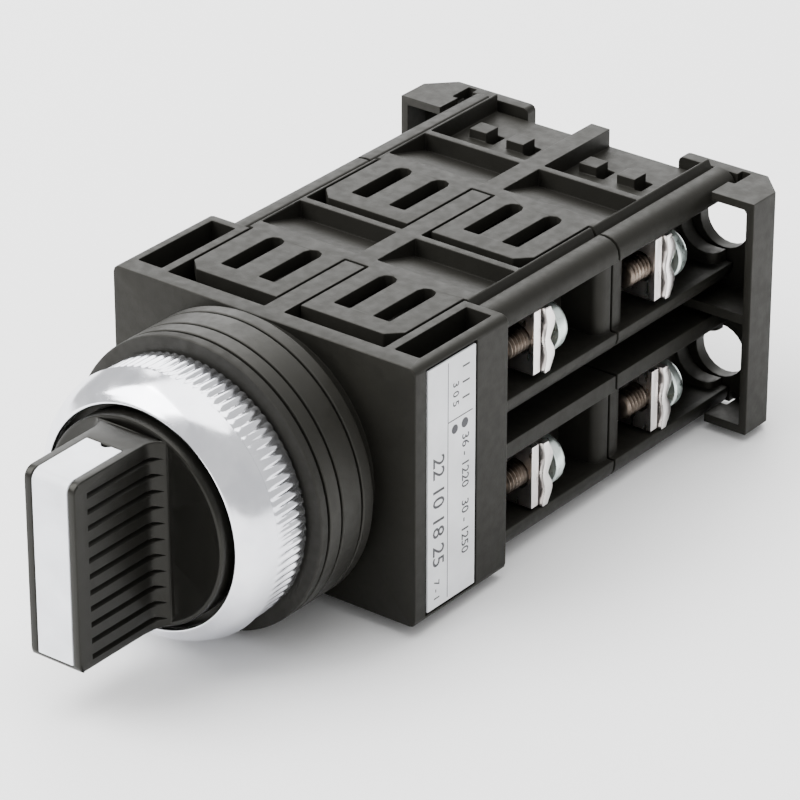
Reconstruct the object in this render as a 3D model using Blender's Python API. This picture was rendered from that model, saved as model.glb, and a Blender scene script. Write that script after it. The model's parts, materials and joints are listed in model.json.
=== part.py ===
"""Panel selector switch: lever knob in a knurled bezel, ring stack, base block and two contact blocks.

Lengths are in metres and +Z is up. +Y runs from the knob to the terminal covers and +X is the label side.
Pieces are modelled about the knob's axis with y = 0 on the front face of the base block. Two empties then
carry them: one for all that stands still, and one on the same axis for what turns with the knob.
"""
import math

import bmesh
import bpy
from mathutils import Matrix, Vector

# Facets around large, middle and small round pieces
LARGE = 48
MIDDLE = 24
SMALL = 12
# Clearance between pieces that seat on, or slide in, each other
GAP = 0.0003
# How far a cutter reaches past the face that it opens
PAST = 0.002

# Base block
BASE_WIDTH = 0.040
BASE_HEIGHT = 0.030
BASE_DEPTH = 0.016
BASE_CORNER = 0.0008
BASE_RIM = 0.0022
BASE_REAR_WALL = 0.0025
BASE_CELL_DEPTH = 0.0032
SIDE_POCKET_START = 0.0154
SIDE_POCKET_END = 0.0186
SIDE_POCKET_LENGTH = 0.0121
SIDE_POCKET_DEPTH = 0.006
LABEL_THICKNESS = 0.0002
LABEL_WIDTH = 0.008
LABEL_HEIGHT = 0.028
LABEL_START = 0.0021

# Contact blocks
BLOCK_COUNT = 2
BLOCK_WIDTH = 0.0364
BLOCK_HEIGHT = 0.030
BLOCK_DEPTH = 0.0222
BLOCK_CORNER = 0.0018
RAIL_GROOVE_PLACE = 0.0151
RAIL_GROOVE_WIDTH = 0.0010
RAIL_GROOVE_DEPTH = 0.0010
RAIL_DROP = 0.0005
CENTRE_BAR_WIDTH = 0.0026
CELL_REACH = 0.0143
CELL_START = 0.0094
CELL_DEPTH = 0.0021
POCKET_START = 0.0018
POCKET_END = 0.0084
POCKET_LIP_DEPTH = 0.0003
TONGUE_LENGTH = 0.0115
TONGUE_THICKNESS = 0.0016
TONGUE_CHAMFER = 0.0016
SLOT_WIDTH = 0.0021
SLOT_LENGTH = 0.0089
SLOT_PLACES = (0.0050, 0.0101)
LATCH_START = 0.0142
LATCH_LENGTH = 0.0023
LATCH_WIDTH = 0.0024
LATCH_HEIGHT = 0.0011
LATCH_SHIFT = -0.0013
LATCH_POCKET_WIDTH = 0.0009
LATCH_POCKET_DEPTH = 0.0009
SIDE_GROOVE_TOP = 0.0014
SIDE_GROOVE_BOTTOM = -0.0016
SIDE_GROOVE_DEPTH = 0.0046
SIDE_GROOVE_ROUND = 0.0013
CHAMBER_INNER = 0.0122
CHAMBER_LOW = 0.0035
CHAMBER_HIGH = 0.0120
CHAMBER_START = 0.0024
CHAMBER_END = 0.0198
CHAMBER_FLARE = 0.0012
CHAMBER_RECESS = 0.0009

# Terminals
TERMINAL_X = 0.0157
TERMINAL_Z = 0.0080
PLATE_START = 0.0071
PLATE_THICKNESS = 0.0012
PLATE_REACH = 0.0179
PLATE_HALF_HEIGHT = 0.0037
CLAMP_HALF_WIDTH = 0.0026
CLAMP_HALF_HEIGHT = 0.0037
CLAMP_THICKNESS = 0.0009
CLAMP_ARCH = 0.0006
SCREW_RADIUS = 0.0015
SCREW_LENGTH = 0.0070
HEAD_RADIUS = 0.0030
HEAD_RIM = 0.0009
HEAD_HEIGHT = 0.0026
RECESS_LENGTH = 0.0034
RECESS_WIDTH = 0.0008
RECESS_DEPTH = 0.0013

# Moving contacts
PLUNGER_X = 0.0060
PLUNGER_HALF = 0.0017
PLUNGER_NOSE = 0.0050
PLUNGER_NOSE_RADIUS = 0.0015
CARRIER_START = 0.0046
CARRIER_LENGTH = 0.0041
CARRIER_HALF_WIDTH = 0.0027
CARRIER_HALF_HEIGHT = 0.0022
BRIDGE_START = 0.0064
BRIDGE_THICKNESS = 0.0008
BRIDGE_WIDTH = 0.0030
BRIDGE_HALF_LENGTH = 0.0064
STRIP_JOG = 0.0030
STRIP_LEG = 0.0080
STRIP_TIP = 0.0046
STRIP_HIGH = 0.0072
BUTTON_RADIUS = 0.0011
BUTTON_HEIGHT = 0.0005
CONTACT_HALF_HEIGHT = 0.0076
CONTACT_WALL = 0.0020
CONTACT_INNER = 0.0026
CONTACT_OUTER = 0.0095
CONTACT_END = 0.0120
SPRING_RADIUS = 0.0023
SPRING_WIRE = 0.00025
SPRING_TURNS = 4
SPRING_POCKET_END = 0.0142
SPRING_LEDGE = 0.0010

# Terminal covers
COVER_WIDTH = 0.0482
COVER_HEIGHT = 0.0282
COVER_WALL = 0.0010
COVER_REACH = 0.0072
COVER_PLATE = 0.0013
COVER_INNER = 0.0103
COVER_CHAMFER = 0.0029
COVER_BARRIER = 0.0012
COVER_KEY_DEPTH = 0.0036
COVER_CORNER = 0.0007
COVER_NOTCH_WIDTH = 0.0008
COVER_NOTCH_LENGTH = 0.0022
DRIVER_HOLE_RADIUS = 0.0032
DRIVER_HOLE_OUTSET = 0.0010

# Ring stack in front of the base block
NECK_RADIUS = 0.0147
NECK_LENGTH = 0.0020
RING_RADIUS = 0.0164
RING_EDGE = 0.0002
LOCK_RING_DEPTH = 0.0016
SPACER_DEPTH = 0.0030
WASHER_DEPTH = 0.0018
GASKET_DEPTH = 0.0012

# Bezel and sleeve
SLEEVE_RADIUS = 0.0127
SLEEVE_SEAT = 0.0012
SLEEVE_BORE = 0.0104
BEARING_REAR = 0.0050
BEARING_LENGTH = 0.0040
BEZEL_LENGTH = 0.0086
BEZEL_RADIUS = 0.0148
BEZEL_RIDGE = 0.0150
BEZEL_LIP_RADIUS = 0.0123
KNURL_COUNT = 72
KNURL_DEPTH = 0.00035
KNURL_LENGTH = 0.0046

# Knob
KNOB_REACH = 0.0330
SKIRT_RADIUS = 0.0116
SKIRT_FRONT = 0.0203
SKIRT_THICKNESS = 0.0023
SKIRT_DOME = 0.0004
HUB_RADIUS = 0.0100
HUB_WALL = 0.0016
HUB_LENGTH = 0.0080
BOSS_RADIUS = 0.0056
BOSS_LENGTH = 0.0068
LEVER_HALF = 0.0033
LEVER_TOP = 0.01045
LEVER_TOP_REAR = 0.0106
LEVER_BOTTOM = 0.0112
LEVER_ROUND = 0.0012
RIB_COUNT = 11
RIB_PITCH = 0.00183
RIB_TOP = 0.0086
RIB_WIDTH = 0.0003
RIB_DEPTH = 0.0005
RIB_FRONT = 0.0307
RIB_REAR = 0.0214
INSERT_HALF = 0.0023
INSERT_THICKNESS = 0.0009
INSERT_BOTTOM = 0.0103
INSERT_REAR = 0.0246

# Shaft and cam
SHAFT_RADIUS = 0.0040
SHAFT_FRONT = 0.0176
CAM_RADIUS = 0.0102
CAM_PLATE_START = 0.0045
CAM_PLATE_DEPTH = 0.0035
CAM_TRACK_RADIUS = 0.0086
CAM_HUB_RADIUS = 0.0034
CAM_CLEARANCE = 0.0004
CLIP_RADIUS = 0.0065
CLIP_THICKNESS = 0.0007
CLIP_GROOVE = 0.0006
SEAL_RADIUS = 0.0066
SEAL_LENGTH = 0.0013
TURN_LIMIT = math.radians(45)
PLUNGER_STROKE = 0.0015
RAMP_LIMIT = math.radians(60)

# Index pin that clicks into the rim of the cam
INDEX_RADIUS = 0.0014
INDEX_LENGTH = 0.0030
INDEX_SPRING_LENGTH = 0.0036
INDEX_SPRING_RADIUS = 0.0011
INDEX_SPRING_WIRE = 0.0002
INDEX_SPRING_TURNS = 4
INDEX_NOTCH = 0.0006

# Sizes that follow from those above
STRIP_LOW = TERMINAL_Z - PLATE_HALF_HEIGHT
CENTRE_BAR_HALF = CENTRE_BAR_WIDTH / 2
REAR_FACE = BASE_DEPTH + BLOCK_COUNT * BLOCK_DEPTH
COVER_REAR = REAR_FACE + COVER_PLATE + GAP
SLEEVE_FIT = SLEEVE_RADIUS + GAP
LOCK_RING_FRONT = -(NECK_LENGTH + GAP + LOCK_RING_DEPTH)
SPACER_FRONT = LOCK_RING_FRONT - GAP - SPACER_DEPTH
WASHER_FRONT = SPACER_FRONT - GAP - WASHER_DEPTH
GASKET_FRONT = WASHER_FRONT - GAP - GASKET_DEPTH
BEZEL_REAR = GASKET_FRONT - GAP
BEZEL_FRONT = BEZEL_REAR - BEZEL_LENGTH
SKIRT_REAR = SKIRT_FRONT - SKIRT_THICKNESS
CAM_LIFT = PLUNGER_STROKE / TURN_LIMIT
CAM_MID = BASE_DEPTH - PLUNGER_NOSE - GAP
AXIS_HEIGHT = RING_RADIUS
FRONT_FACE = (KNOB_REACH - COVER_REAR) / 2

SIDES = {"left": -1, "right": 1}
LEVELS = {"upper": 1, "lower": -1}
LAYERS = {"front": 0, "rear": 1}


def material(name, colour, roughness, metallic=0.0):
    """A plain finish."""
    made = bpy.data.materials.new(name)
    made.use_nodes = True
    shader = made.node_tree.nodes["Principled BSDF"]
    shader.inputs["Base Color"].default_value = (*colour, 1.0)
    shader.inputs["Roughness"].default_value = roughness
    shader.inputs["Metallic"].default_value = metallic
    return made


def finish(obj, surface, round_piece=False):
    """Gives a piece its material, and smooth shading with crisp corners if it is round."""
    obj.data.materials.clear()
    obj.data.materials.append(surface)
    if round_piece and obj.type == "MESH":
        obj.data.shade_smooth()
        obj.data.set_sharp_from_angle(angle=math.radians(32))
    return obj


def solid(name, bm):
    """A new object from a bmesh, with its faces pointing out."""
    bmesh.ops.remove_doubles(bm, verts=bm.verts, dist=1e-7)
    bmesh.ops.recalc_face_normals(bm, faces=bm.faces)
    mesh = bpy.data.meshes.new(name)
    bm.to_mesh(mesh)
    bm.free()
    obj = bpy.data.objects.new(name, mesh)
    bpy.context.scene.collection.objects.link(obj)
    return obj


def prism(name, outline, axis, start, end):
    """An outline extruded along X, Y or Z. The outline holds the other two coordinates, in order."""
    bm = bmesh.new()
    corners = []
    for first, second in outline:
        place = [first, second]
        place.insert("XYZ".index(axis), start)
        corners.append(bm.verts.new(place))
    face = bm.faces.new(corners)
    grown = bmesh.ops.extrude_face_region(bm, geom=[face])
    moved = [item for item in grown["geom"] if isinstance(item, bmesh.types.BMVert)]
    step = Vector((0, 0, 0))
    step["XYZ".index(axis)] = end - start
    bmesh.ops.translate(bm, verts=moved, vec=step)
    return solid(name, bm)


def block(name, x, y, z):
    """A box between pairs of limits."""
    outline = [(x[0], z[0]), (x[1], z[0]), (x[1], z[1]), (x[0], z[1])]
    return prism(name, outline, "Y", y[0], y[1])


def turned(name, profile, steps, shape=None, closed=True):
    """A (radius, y) profile spun about the Y axis; shape may move a point by its row and its angle."""
    bm = bmesh.new()
    points = [bm.verts.new((radius, y, 0)) for radius, y in profile]
    pairs = list(zip(points, points[1:]))
    if closed:
        pairs.append((points[-1], points[0]))
    edges = [bm.edges.new(pair) for pair in pairs]
    bmesh.ops.spin(bm, geom=points + edges, axis=(0, 1, 0), cent=(0, 0, 0), angle=math.tau,
                   steps=steps, use_merge=True)
    if shape:
        for vert in bm.verts:
            radius = math.hypot(vert.co.x, vert.co.z)
            angle = math.atan2(vert.co.z, vert.co.x)
            radius, height = shape(radius, vert.co.y, angle)
            vert.co = (radius * math.cos(angle), height, radius * math.sin(angle))
    bmesh.ops.remove_doubles(bm, verts=bm.verts, dist=1e-6)
    return solid(name, bm)


def placed(obj, x=0.0, y=0.0, z=0.0):
    """Moves the points of a piece, so that its origin stays on the knob's axis."""
    obj.data.transform(Matrix.Translation((x, y, z)))
    return obj


def circle(radius, place=(0.0, 0.0), steps=MIDDLE):
    """The corners of a circle about an (x, z) place."""
    points = []
    for step in range(steps):
        angle = math.tau * step / steps
        points.append((place[0] + radius * math.cos(angle), place[1] + radius * math.sin(angle)))
    return points


def rod(name, radius, y, place=(0.0, 0.0), steps=MIDDLE):
    """A plain round rod along Y, centred on an (x, z) place."""
    return prism(name, circle(radius, place, steps), "Y", y[0], y[1])


def combine(obj, other, operation):
    """Applies a Boolean with another object and removes that object."""
    modifier = obj.modifiers.new(operation, "BOOLEAN")
    modifier.operation = operation
    modifier.solver = "EXACT"
    modifier.object = other
    graph = bpy.context.evaluated_depsgraph_get()
    mesh = bpy.data.meshes.new_from_object(obj.evaluated_get(graph))
    obj.modifiers.clear()
    obj.data = mesh
    bpy.data.objects.remove(other, do_unlink=True)
    return obj


def cut(obj, cutter):
    return combine(obj, cutter, "DIFFERENCE")


def join(obj, other):
    return combine(obj, other, "UNION")


def arc(centre, radius, start, end, steps):
    """Points on an arc, both ends included, with angles in degrees."""
    points = []
    for step in range(steps + 1):
        angle = math.radians(start + (end - start) * step / steps)
        points.append((centre[0] + radius * math.cos(angle), centre[1] + radius * math.sin(angle)))
    return points


def mirrored(points, first=1, second=1):
    """An outline with either coordinate's sign turned."""
    return [(a * first, b * second) for a, b in points]


def band(side, inner, outer):
    """The limits in x of a band on one side of the middle."""
    return tuple(sorted((side * inner, side * outer)))


def rounded_section(width, height, corner):
    """A rectangle about the axis with round corners."""
    x = width / 2 - corner
    z = height / 2 - corner
    return (arc((x, z), corner, 0, 90, 3) + arc((-x, z), corner, 90, 180, 3)
            + arc((-x, -z), corner, 180, 270, 3) + arc((x, -z), corner, 270, 360, 3))


def block_section():
    """The section of a contact block: rails with a V groove and a lower outer strip, and a deep groove down each side."""
    half = BLOCK_WIDTH / 2
    top = BLOCK_HEIGHT / 2
    strip = top - RAIL_DROP
    v_start = RAIL_GROOVE_PLACE - RAIL_GROOVE_WIDTH / 2
    v_end = RAIL_GROOVE_PLACE + RAIL_GROOVE_WIDTH / 2
    v_groove = [(v_start, top), (RAIL_GROOVE_PLACE, top - RAIL_GROOVE_DEPTH), (v_end, strip)]
    corner = arc((half - BLOCK_CORNER, strip - BLOCK_CORNER), BLOCK_CORNER, 90, 0, 4)
    lip = arc((half - SIDE_GROOVE_ROUND, SIDE_GROOVE_TOP + SIDE_GROOVE_ROUND), SIDE_GROOVE_ROUND, 0, -90, 3)
    groove = [(half - SIDE_GROOVE_DEPTH, SIDE_GROOVE_TOP), (half - SIDE_GROOVE_DEPTH, SIDE_GROOVE_BOTTOM),
              (half, SIDE_GROOVE_BOTTOM)]
    right = v_groove + corner + lip + groove
    right += list(reversed(mirrored(v_groove + corner, 1, -1)))
    return right + list(reversed(mirrored(right, -1, 1)))


def tongue(side, level, front):
    """A flat finger that reaches forward over the piece in front, with two slots."""
    inner = CENTRE_BAR_HALF + GAP
    outer = CELL_REACH - GAP
    tip = front - TONGUE_LENGTH
    outline = [(inner, front + PAST), (inner, tip), (outer - TONGUE_CHAMFER, tip), (outer, tip + TONGUE_CHAMFER),
               (outer, front + PAST)]
    top = BLOCK_HEIGHT / 2
    levels = sorted((level * (top - TONGUE_THICKNESS), level * top))
    piece = prism("tongue", mirrored(outline, side), "Z", *levels)
    for place in SLOT_PLACES:
        end = front - SLOT_WIDTH / 2 - GAP
        slot = [(place - SLOT_WIDTH / 2, front - SLOT_LENGTH), (place + SLOT_WIDTH / 2, front - SLOT_LENGTH)]
        slot += arc((place, end), SLOT_WIDTH / 2, 0, 180, 4)
        reach = sorted((level * (top - TONGUE_THICKNESS - PAST), level * (top + PAST)))
        cut(piece, prism("slot", mirrored(slot, side), "Z", *reach))
    return piece


def add_latch(body, side, level, place, front):
    """A square hook that stands on a cell's floor, with a narrow pocket sunk along its right side."""
    middle = side * place + LATCH_SHIFT
    edge = middle + LATCH_WIDTH / 2
    reach = (front + LATCH_START, front + LATCH_START + LATCH_LENGTH)
    floor = BLOCK_HEIGHT / 2 - CELL_DEPTH
    hook_z = sorted((level * (floor - GAP), level * (floor + LATCH_HEIGHT)))
    pocket_z = sorted((level * (floor - LATCH_POCKET_DEPTH), level * (floor + PAST)))
    join(body, block("hook", (edge - LATCH_WIDTH, edge), reach, hook_z))
    cut(body, block("pocket", (edge, edge + LATCH_POCKET_WIDTH), reach, pocket_z))


def chamber(side, level, front):
    """A terminal chamber open to the side, between walls that stand back and have rounded shoulders."""
    half = BLOCK_WIDTH / 2
    wall = half - CHAMBER_RECESS
    start = front + CHAMBER_START
    end = front + CHAMBER_END
    bend = wall - CHAMBER_FLARE
    outline = [(CHAMBER_INNER, start), (bend, start)]
    outline += arc((bend, start - CHAMBER_FLARE), CHAMBER_FLARE, 90, 0, 3)[1:]
    outline += [(wall, front - PAST), (half + PAST, front - PAST)]
    outline += [(half + PAST, front + BLOCK_DEPTH + PAST), (wall, front + BLOCK_DEPTH + PAST)]
    outline += arc((bend, end + CHAMBER_FLARE), CHAMBER_FLARE, 0, -90, 3)[:-1]
    outline += [(bend, end), (CHAMBER_INNER, end)]
    levels = sorted((level * CHAMBER_LOW, level * CHAMBER_HIGH))
    return prism("chamber", mirrored(outline, side), "Z", *levels)


def driver_slot(side, level, start, end):
    """A round-ended slot through a wall, from the screw's axis out to the axis of the cover's hole."""
    half = MIDDLE // 2
    outline = arc((TERMINAL_X, TERMINAL_Z), DRIVER_HOLE_RADIUS, 90, 270, half)
    outline += arc((TERMINAL_X + DRIVER_HOLE_OUTSET, TERMINAL_Z), DRIVER_HOLE_RADIUS, 270, 450, half)
    return prism("driver_slot", mirrored(outline, side, level), "Y", start, end)


def cut_contact_space(body, side, front):
    """The inner space of one moving contact: guide, contact chamber, spring pocket and rear guide."""
    place = (side * PLUNGER_X, 0.0)
    guide = PLUNGER_HALF + GAP
    square = (band(side, PLUNGER_X - guide, PLUNGER_X + guide), (-guide, guide))
    rear = front + BLOCK_DEPTH
    cut(body, block("guide", square[0], (front - PAST, front + CONTACT_WALL + GAP), square[1]))
    cut(body, block("contacts", band(side, CONTACT_INNER, CONTACT_OUTER),
                    (front + CONTACT_WALL, front + CONTACT_END), (-CONTACT_HALF_HEIGHT, CONTACT_HALF_HEIGHT)))
    pocket = SPRING_RADIUS + SPRING_WIRE + GAP
    cut(body, rod("pocket", pocket, (front + CONTACT_END - GAP, front + SPRING_POCKET_END), place, SMALL))
    cut(body, rod("ledge", PLUNGER_NOSE_RADIUS + GAP,
                  (front + SPRING_POCKET_END - GAP, front + SPRING_POCKET_END + SPRING_LEDGE + GAP), place, SMALL))
    cut(body, block("rear_guide", square[0], (front + SPRING_POCKET_END + SPRING_LEDGE, rear + PAST), square[1]))
    for level in LEVELS.values():
        slot_z = sorted((level * (STRIP_LOW - GAP), level * (STRIP_HIGH + GAP)))
        slot_y = (front + PLATE_START - GAP, front + PLATE_START + PLATE_THICKNESS + GAP)
        cut(body, block("plate_slot", band(side, CONTACT_OUTER - GAP, CHAMBER_INNER + GAP), slot_y, slot_z))


def contact_block(name, layer, surface):
    """One moulded contact block with tongues, cells, grooves and terminal chambers; the last one shows its hooks."""
    front = BASE_DEPTH + layer * BLOCK_DEPTH
    rear = front + BLOCK_DEPTH - GAP
    top = BLOCK_HEIGHT / 2
    body = prism(name, block_section(), "Y", front, rear)
    for side in SIDES.values():
        cut_contact_space(body, side, front)
        for level in LEVELS.values():
            join(body, tongue(side, level, front))
            ramp = [(front + POCKET_START, level * (top - POCKET_LIP_DEPTH)),
                    (front + POCKET_END, level * (top - CELL_DEPTH)),
                    (front + POCKET_END, level * (top + PAST)), (front + POCKET_START, level * (top + PAST))]
            cut(body, prism("pocket", ramp, "X", *band(side, CENTRE_BAR_HALF, CELL_REACH)))
            cell_z = sorted((level * (top - CELL_DEPTH), level * (top + PAST)))
            cut(body, block("cell", band(side, CENTRE_BAR_HALF, CELL_REACH), (front + CELL_START, rear + PAST), cell_z))
            cut(body, chamber(side, level, front))
            if layer == BLOCK_COUNT - 1:
                for place in SLOT_PLACES:
                    add_latch(body, side, level, place, front)
                cut(body, driver_slot(side, level, front + CHAMBER_END - PAST, rear + PAST))
    return finish(body, surface)


def base_housing(surface):
    """The base block: a shell with a round neck, side pockets, cells for the tongues and the cam's space."""
    rear = BASE_DEPTH - GAP
    top = BASE_HEIGHT / 2
    body = prism("base_housing", rounded_section(BASE_WIDTH, BASE_HEIGHT, BASE_CORNER), "Y", 0, rear)
    join(body, rod("neck", NECK_RADIUS, (-NECK_LENGTH, PAST), steps=LARGE))
    cut(body, rod("sleeve_seat", SLEEVE_FIT, (-NECK_LENGTH - PAST, SLEEVE_SEAT), steps=LARGE))
    cut(body, rod("cam_space", CAM_RADIUS + CAM_CLEARANCE, (SLEEVE_SEAT - GAP, BASE_DEPTH - BASE_REAR_WALL),
                  steps=LARGE))
    guide = PLUNGER_HALF + GAP
    for side in SIDES.values():
        hole_x = band(side, PLUNGER_X - guide, PLUNGER_X + guide)
        cut(body, block("guide", hole_x, (BASE_DEPTH - BASE_REAR_WALL - PAST, rear + PAST), (-guide, guide)))
        for level in LEVELS.values():
            cell_z = sorted((level * (top - BASE_CELL_DEPTH), level * (top + PAST)))
            cut(body, block("cell", band(side, CENTRE_BAR_HALF, CELL_REACH), (BASE_RIM, rear + PAST), cell_z))
            pocket_z = sorted((level * (top - SIDE_POCKET_DEPTH), level * (top + PAST)))
            pocket_y = (BASE_RIM + GAP, BASE_RIM + GAP + SIDE_POCKET_LENGTH)
            cut(body, block("side_pocket", band(side, SIDE_POCKET_START, SIDE_POCKET_END), pocket_y, pocket_z))
    half = BASE_WIDTH / 2
    label_y = (LABEL_START - GAP, LABEL_START + LABEL_WIDTH + GAP)
    label_z = LABEL_HEIGHT / 2 + GAP
    cut(body, block("label_seat", (half - LABEL_THICKNESS - GAP, half + PAST), label_y, (-label_z, label_z)))
    cut(body, index_rod("index_bore", INDEX_RADIUS + GAP, CAM_RADIUS, index_bore_end()))
    return finish(body, surface)


def label(surface):
    half = BASE_WIDTH / 2
    body = block("label", (half - LABEL_THICKNESS, half), (LABEL_START, LABEL_START + LABEL_WIDTH),
                 (-LABEL_HEIGHT / 2, LABEL_HEIGHT / 2))
    return finish(body, surface)


def ring(name, front, depth, surface):
    """A flat ring over the sleeve."""
    rear = front + depth
    profile = [(SLEEVE_FIT, front), (RING_RADIUS, front), (RING_RADIUS, rear), (SLEEVE_FIT, rear)]
    return finish(turned(name, profile, LARGE), surface, True)


def bezel_ring(surface):
    """The knurled ring: a ribbed band, a fine ridge, a tapering nose and an inner lip over the sleeve."""
    rear = BEZEL_REAR
    front = BEZEL_FRONT
    knurl_end = rear - KNURL_LENGTH
    nose = BEZEL_RIDGE - BEZEL_LIP_RADIUS
    length = knurl_end - front
    profile = [(SLEEVE_FIT, rear), (BEZEL_RADIUS - KNURL_DEPTH, rear), (BEZEL_RADIUS, rear - GAP),
               (BEZEL_RADIUS, knurl_end), (BEZEL_RIDGE, knurl_end - 0.04 * length),
               (BEZEL_RIDGE - 0.1 * nose, knurl_end - 0.3 * length), (BEZEL_RIDGE - 0.62 * nose, knurl_end - 0.92 * length),
               (BEZEL_RIDGE - 0.8 * nose, front),
               (BEZEL_LIP_RADIUS, front + GAP), (BEZEL_LIP_RADIUS, front + GAP + COVER_WALL),
               (SLEEVE_FIT, front + 2 * GAP + COVER_WALL)]

    def ribs(radius, y, angle):
        column = round(angle / math.tau * 2 * KNURL_COUNT)
        if radius == BEZEL_RADIUS and column % 2:
            return radius - KNURL_DEPTH, y
        return radius, y

    def shape(radius, y, angle):
        near = BEZEL_RADIUS if abs(radius - BEZEL_RADIUS) < 1e-6 else radius
        return ribs(near, y, angle)

    return finish(turned("bezel_ring", profile, 2 * KNURL_COUNT, shape), surface, True)


def sleeve_front():
    """The y of the sleeve's front end, behind the bezel's lip and the knob's skirt."""
    return max(BEZEL_FRONT + 2 * GAP + COVER_WALL, -SKIRT_REAR) + GAP


def operator_sleeve(surface):
    """The bush through the panel: it carries the bezel, the rings and the knob's shaft."""
    front = sleeve_front()
    rear = SLEEVE_SEAT - GAP
    wall_rear = -BEARING_REAR
    wall_front = wall_rear - BEARING_LENGTH
    bore = SHAFT_RADIUS + GAP
    profile = [(SLEEVE_BORE, front), (SLEEVE_RADIUS, front), (SLEEVE_RADIUS, rear), (SLEEVE_BORE, rear),
               (SLEEVE_BORE, wall_rear), (bore, wall_rear), (bore, wall_front), (SLEEVE_BORE, wall_front)]
    return finish(turned("operator_sleeve", profile, LARGE), surface, True)


def shaft_seal(surface):
    rear = -(BEARING_REAR + BEARING_LENGTH + GAP)
    inner = SHAFT_RADIUS + GAP
    middle = rear - SEAL_LENGTH / 2
    profile = [(inner, rear), (SEAL_RADIUS - RING_EDGE, rear), (SEAL_RADIUS, middle),
               (SEAL_RADIUS - RING_EDGE, rear - SEAL_LENGTH), (inner, rear - SEAL_LENGTH)]
    return finish(turned("shaft_seal", profile, MIDDLE), surface, True)


def clip_front():
    """The y of the front face of the shaft's clip, just behind the bearing wall."""
    return -BEARING_REAR + GAP


def retaining_clip(surface):
    """An open ring in the shaft's groove."""
    front = clip_front()
    inner = SHAFT_RADIUS - CLIP_GROOVE + GAP
    profile = [(inner, front), (CLIP_RADIUS, front), (CLIP_RADIUS, front + CLIP_THICKNESS),
               (inner, front + CLIP_THICKNESS)]
    body = turned("retaining_clip", profile, MIDDLE)
    mouth = SHAFT_RADIUS * 0.7
    cut(body, block("mouth", (-mouth, mouth), (front - PAST, front + CLIP_THICKNESS + PAST), (-2 * CLIP_RADIUS, 0)))
    return finish(body, surface, True)


def cam_height(angle):
    """The y of the cam's track: two opposed straight ramps, one under each row of plungers."""
    def ramp(turn):
        return CAM_LIFT * max(-RAMP_LIMIT, min(RAMP_LIMIT, turn))

    if abs(angle) <= math.pi / 2:
        return CAM_MID + ramp(angle)
    turn = angle - math.pi if angle > 0 else angle + math.pi
    return CAM_MID - ramp(turn)


def cam_shaft(surface):
    """The shaft that the knob turns, with a face cam on its rear end and index notches in its rim."""
    plate_rear = CAM_PLATE_START + CAM_PLATE_DEPTH
    groove_front = -BEARING_REAR
    groove_rear = clip_front() + CLIP_THICKNESS + GAP
    neck = SHAFT_RADIUS - CLIP_GROOVE
    profile = [(0, -SHAFT_FRONT), (SHAFT_RADIUS - RING_EDGE, -SHAFT_FRONT), (SHAFT_RADIUS, -SHAFT_FRONT + RING_EDGE),
               (SHAFT_RADIUS, groove_front), (neck, groove_front), (neck, groove_rear), (SHAFT_RADIUS, groove_rear),
               (SHAFT_RADIUS, CAM_PLATE_START), (CAM_RADIUS, CAM_PLATE_START), (CAM_RADIUS, plate_rear),
               (CAM_TRACK_RADIUS, plate_rear), (CAM_TRACK_RADIUS, CAM_MID), (CAM_HUB_RADIUS, CAM_MID),
               (CAM_HUB_RADIUS, plate_rear), (0, plate_rear)]

    def track(radius, y, angle):
        if y > plate_rear + GAP:
            return radius, cam_height(angle)
        return radius, y

    body = turned("cam_shaft", profile, LARGE, track, closed=False)
    for stop in (-1, 0, 1):
        angle = math.pi + stop * TURN_LIMIT
        notch = rod("notch", INDEX_NOTCH, (CAM_PLATE_START - PAST, plate_rear + GAP), steps=8)
        placed(notch, x=CAM_RADIUS * math.cos(angle), z=CAM_RADIUS * math.sin(angle))
        cut(body, notch)
    return finish(body, surface, True)


def index_bore_end():
    """How far out from the axis the index pin's bore ends."""
    return CAM_RADIUS + GAP + INDEX_LENGTH + GAP + INDEX_SPRING_LENGTH + GAP


def index_rod(name, radius, start, end):
    """A round rod on the left side, square to the cam's rim, between two distances from the axis."""
    body = rod(name, radius, (start, end), steps=SMALL)
    body.data.transform(Matrix.Rotation(math.radians(90), 4, "Z"))
    return placed(body, y=CAM_PLATE_START + CAM_PLATE_DEPTH / 2)


def index_pin(surface):
    """The round-nosed pin that the index spring presses on the cam's rim."""
    tip = CAM_RADIUS + GAP
    nose = INDEX_RADIUS * 0.6
    profile = [(0, tip), (INDEX_RADIUS * 0.6, tip + nose * 0.25), (INDEX_RADIUS, tip + nose),
               (INDEX_RADIUS, tip + INDEX_LENGTH), (0, tip + INDEX_LENGTH)]
    body = turned("index_pin", profile, SMALL, closed=False)
    body.data.transform(Matrix.Rotation(math.radians(90), 4, "Z"))
    placed(body, y=CAM_PLATE_START + CAM_PLATE_DEPTH / 2)
    return finish(body, surface, True)


def coil(name, radius, wire, turns, start, end, surface):
    """A helical spring along Y between two end faces, as one tube with closed ends."""
    bm = bmesh.new()
    sides = 4
    steps = 8 * turns
    rings = []
    for step in range(steps + 1):
        share = step / steps
        angle = math.tau * turns * share
        y = start + wire + (end - start - 2 * wire) * share
        ring_points = []
        for side in range(sides):
            turn = math.tau * side / sides
            reach = radius + wire * math.cos(turn)
            place = (reach * math.cos(angle), y + wire * math.sin(turn), reach * math.sin(angle))
            ring_points.append(bm.verts.new(place))
        rings.append(ring_points)
    for first, second in zip(rings, rings[1:]):
        for side in range(sides):
            other = (side + 1) % sides
            bm.faces.new((first[side], first[other], second[other], second[side]))
    bm.faces.new(rings[0])
    bm.faces.new(rings[-1])
    return finish(solid(name, bm), surface, True)


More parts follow.
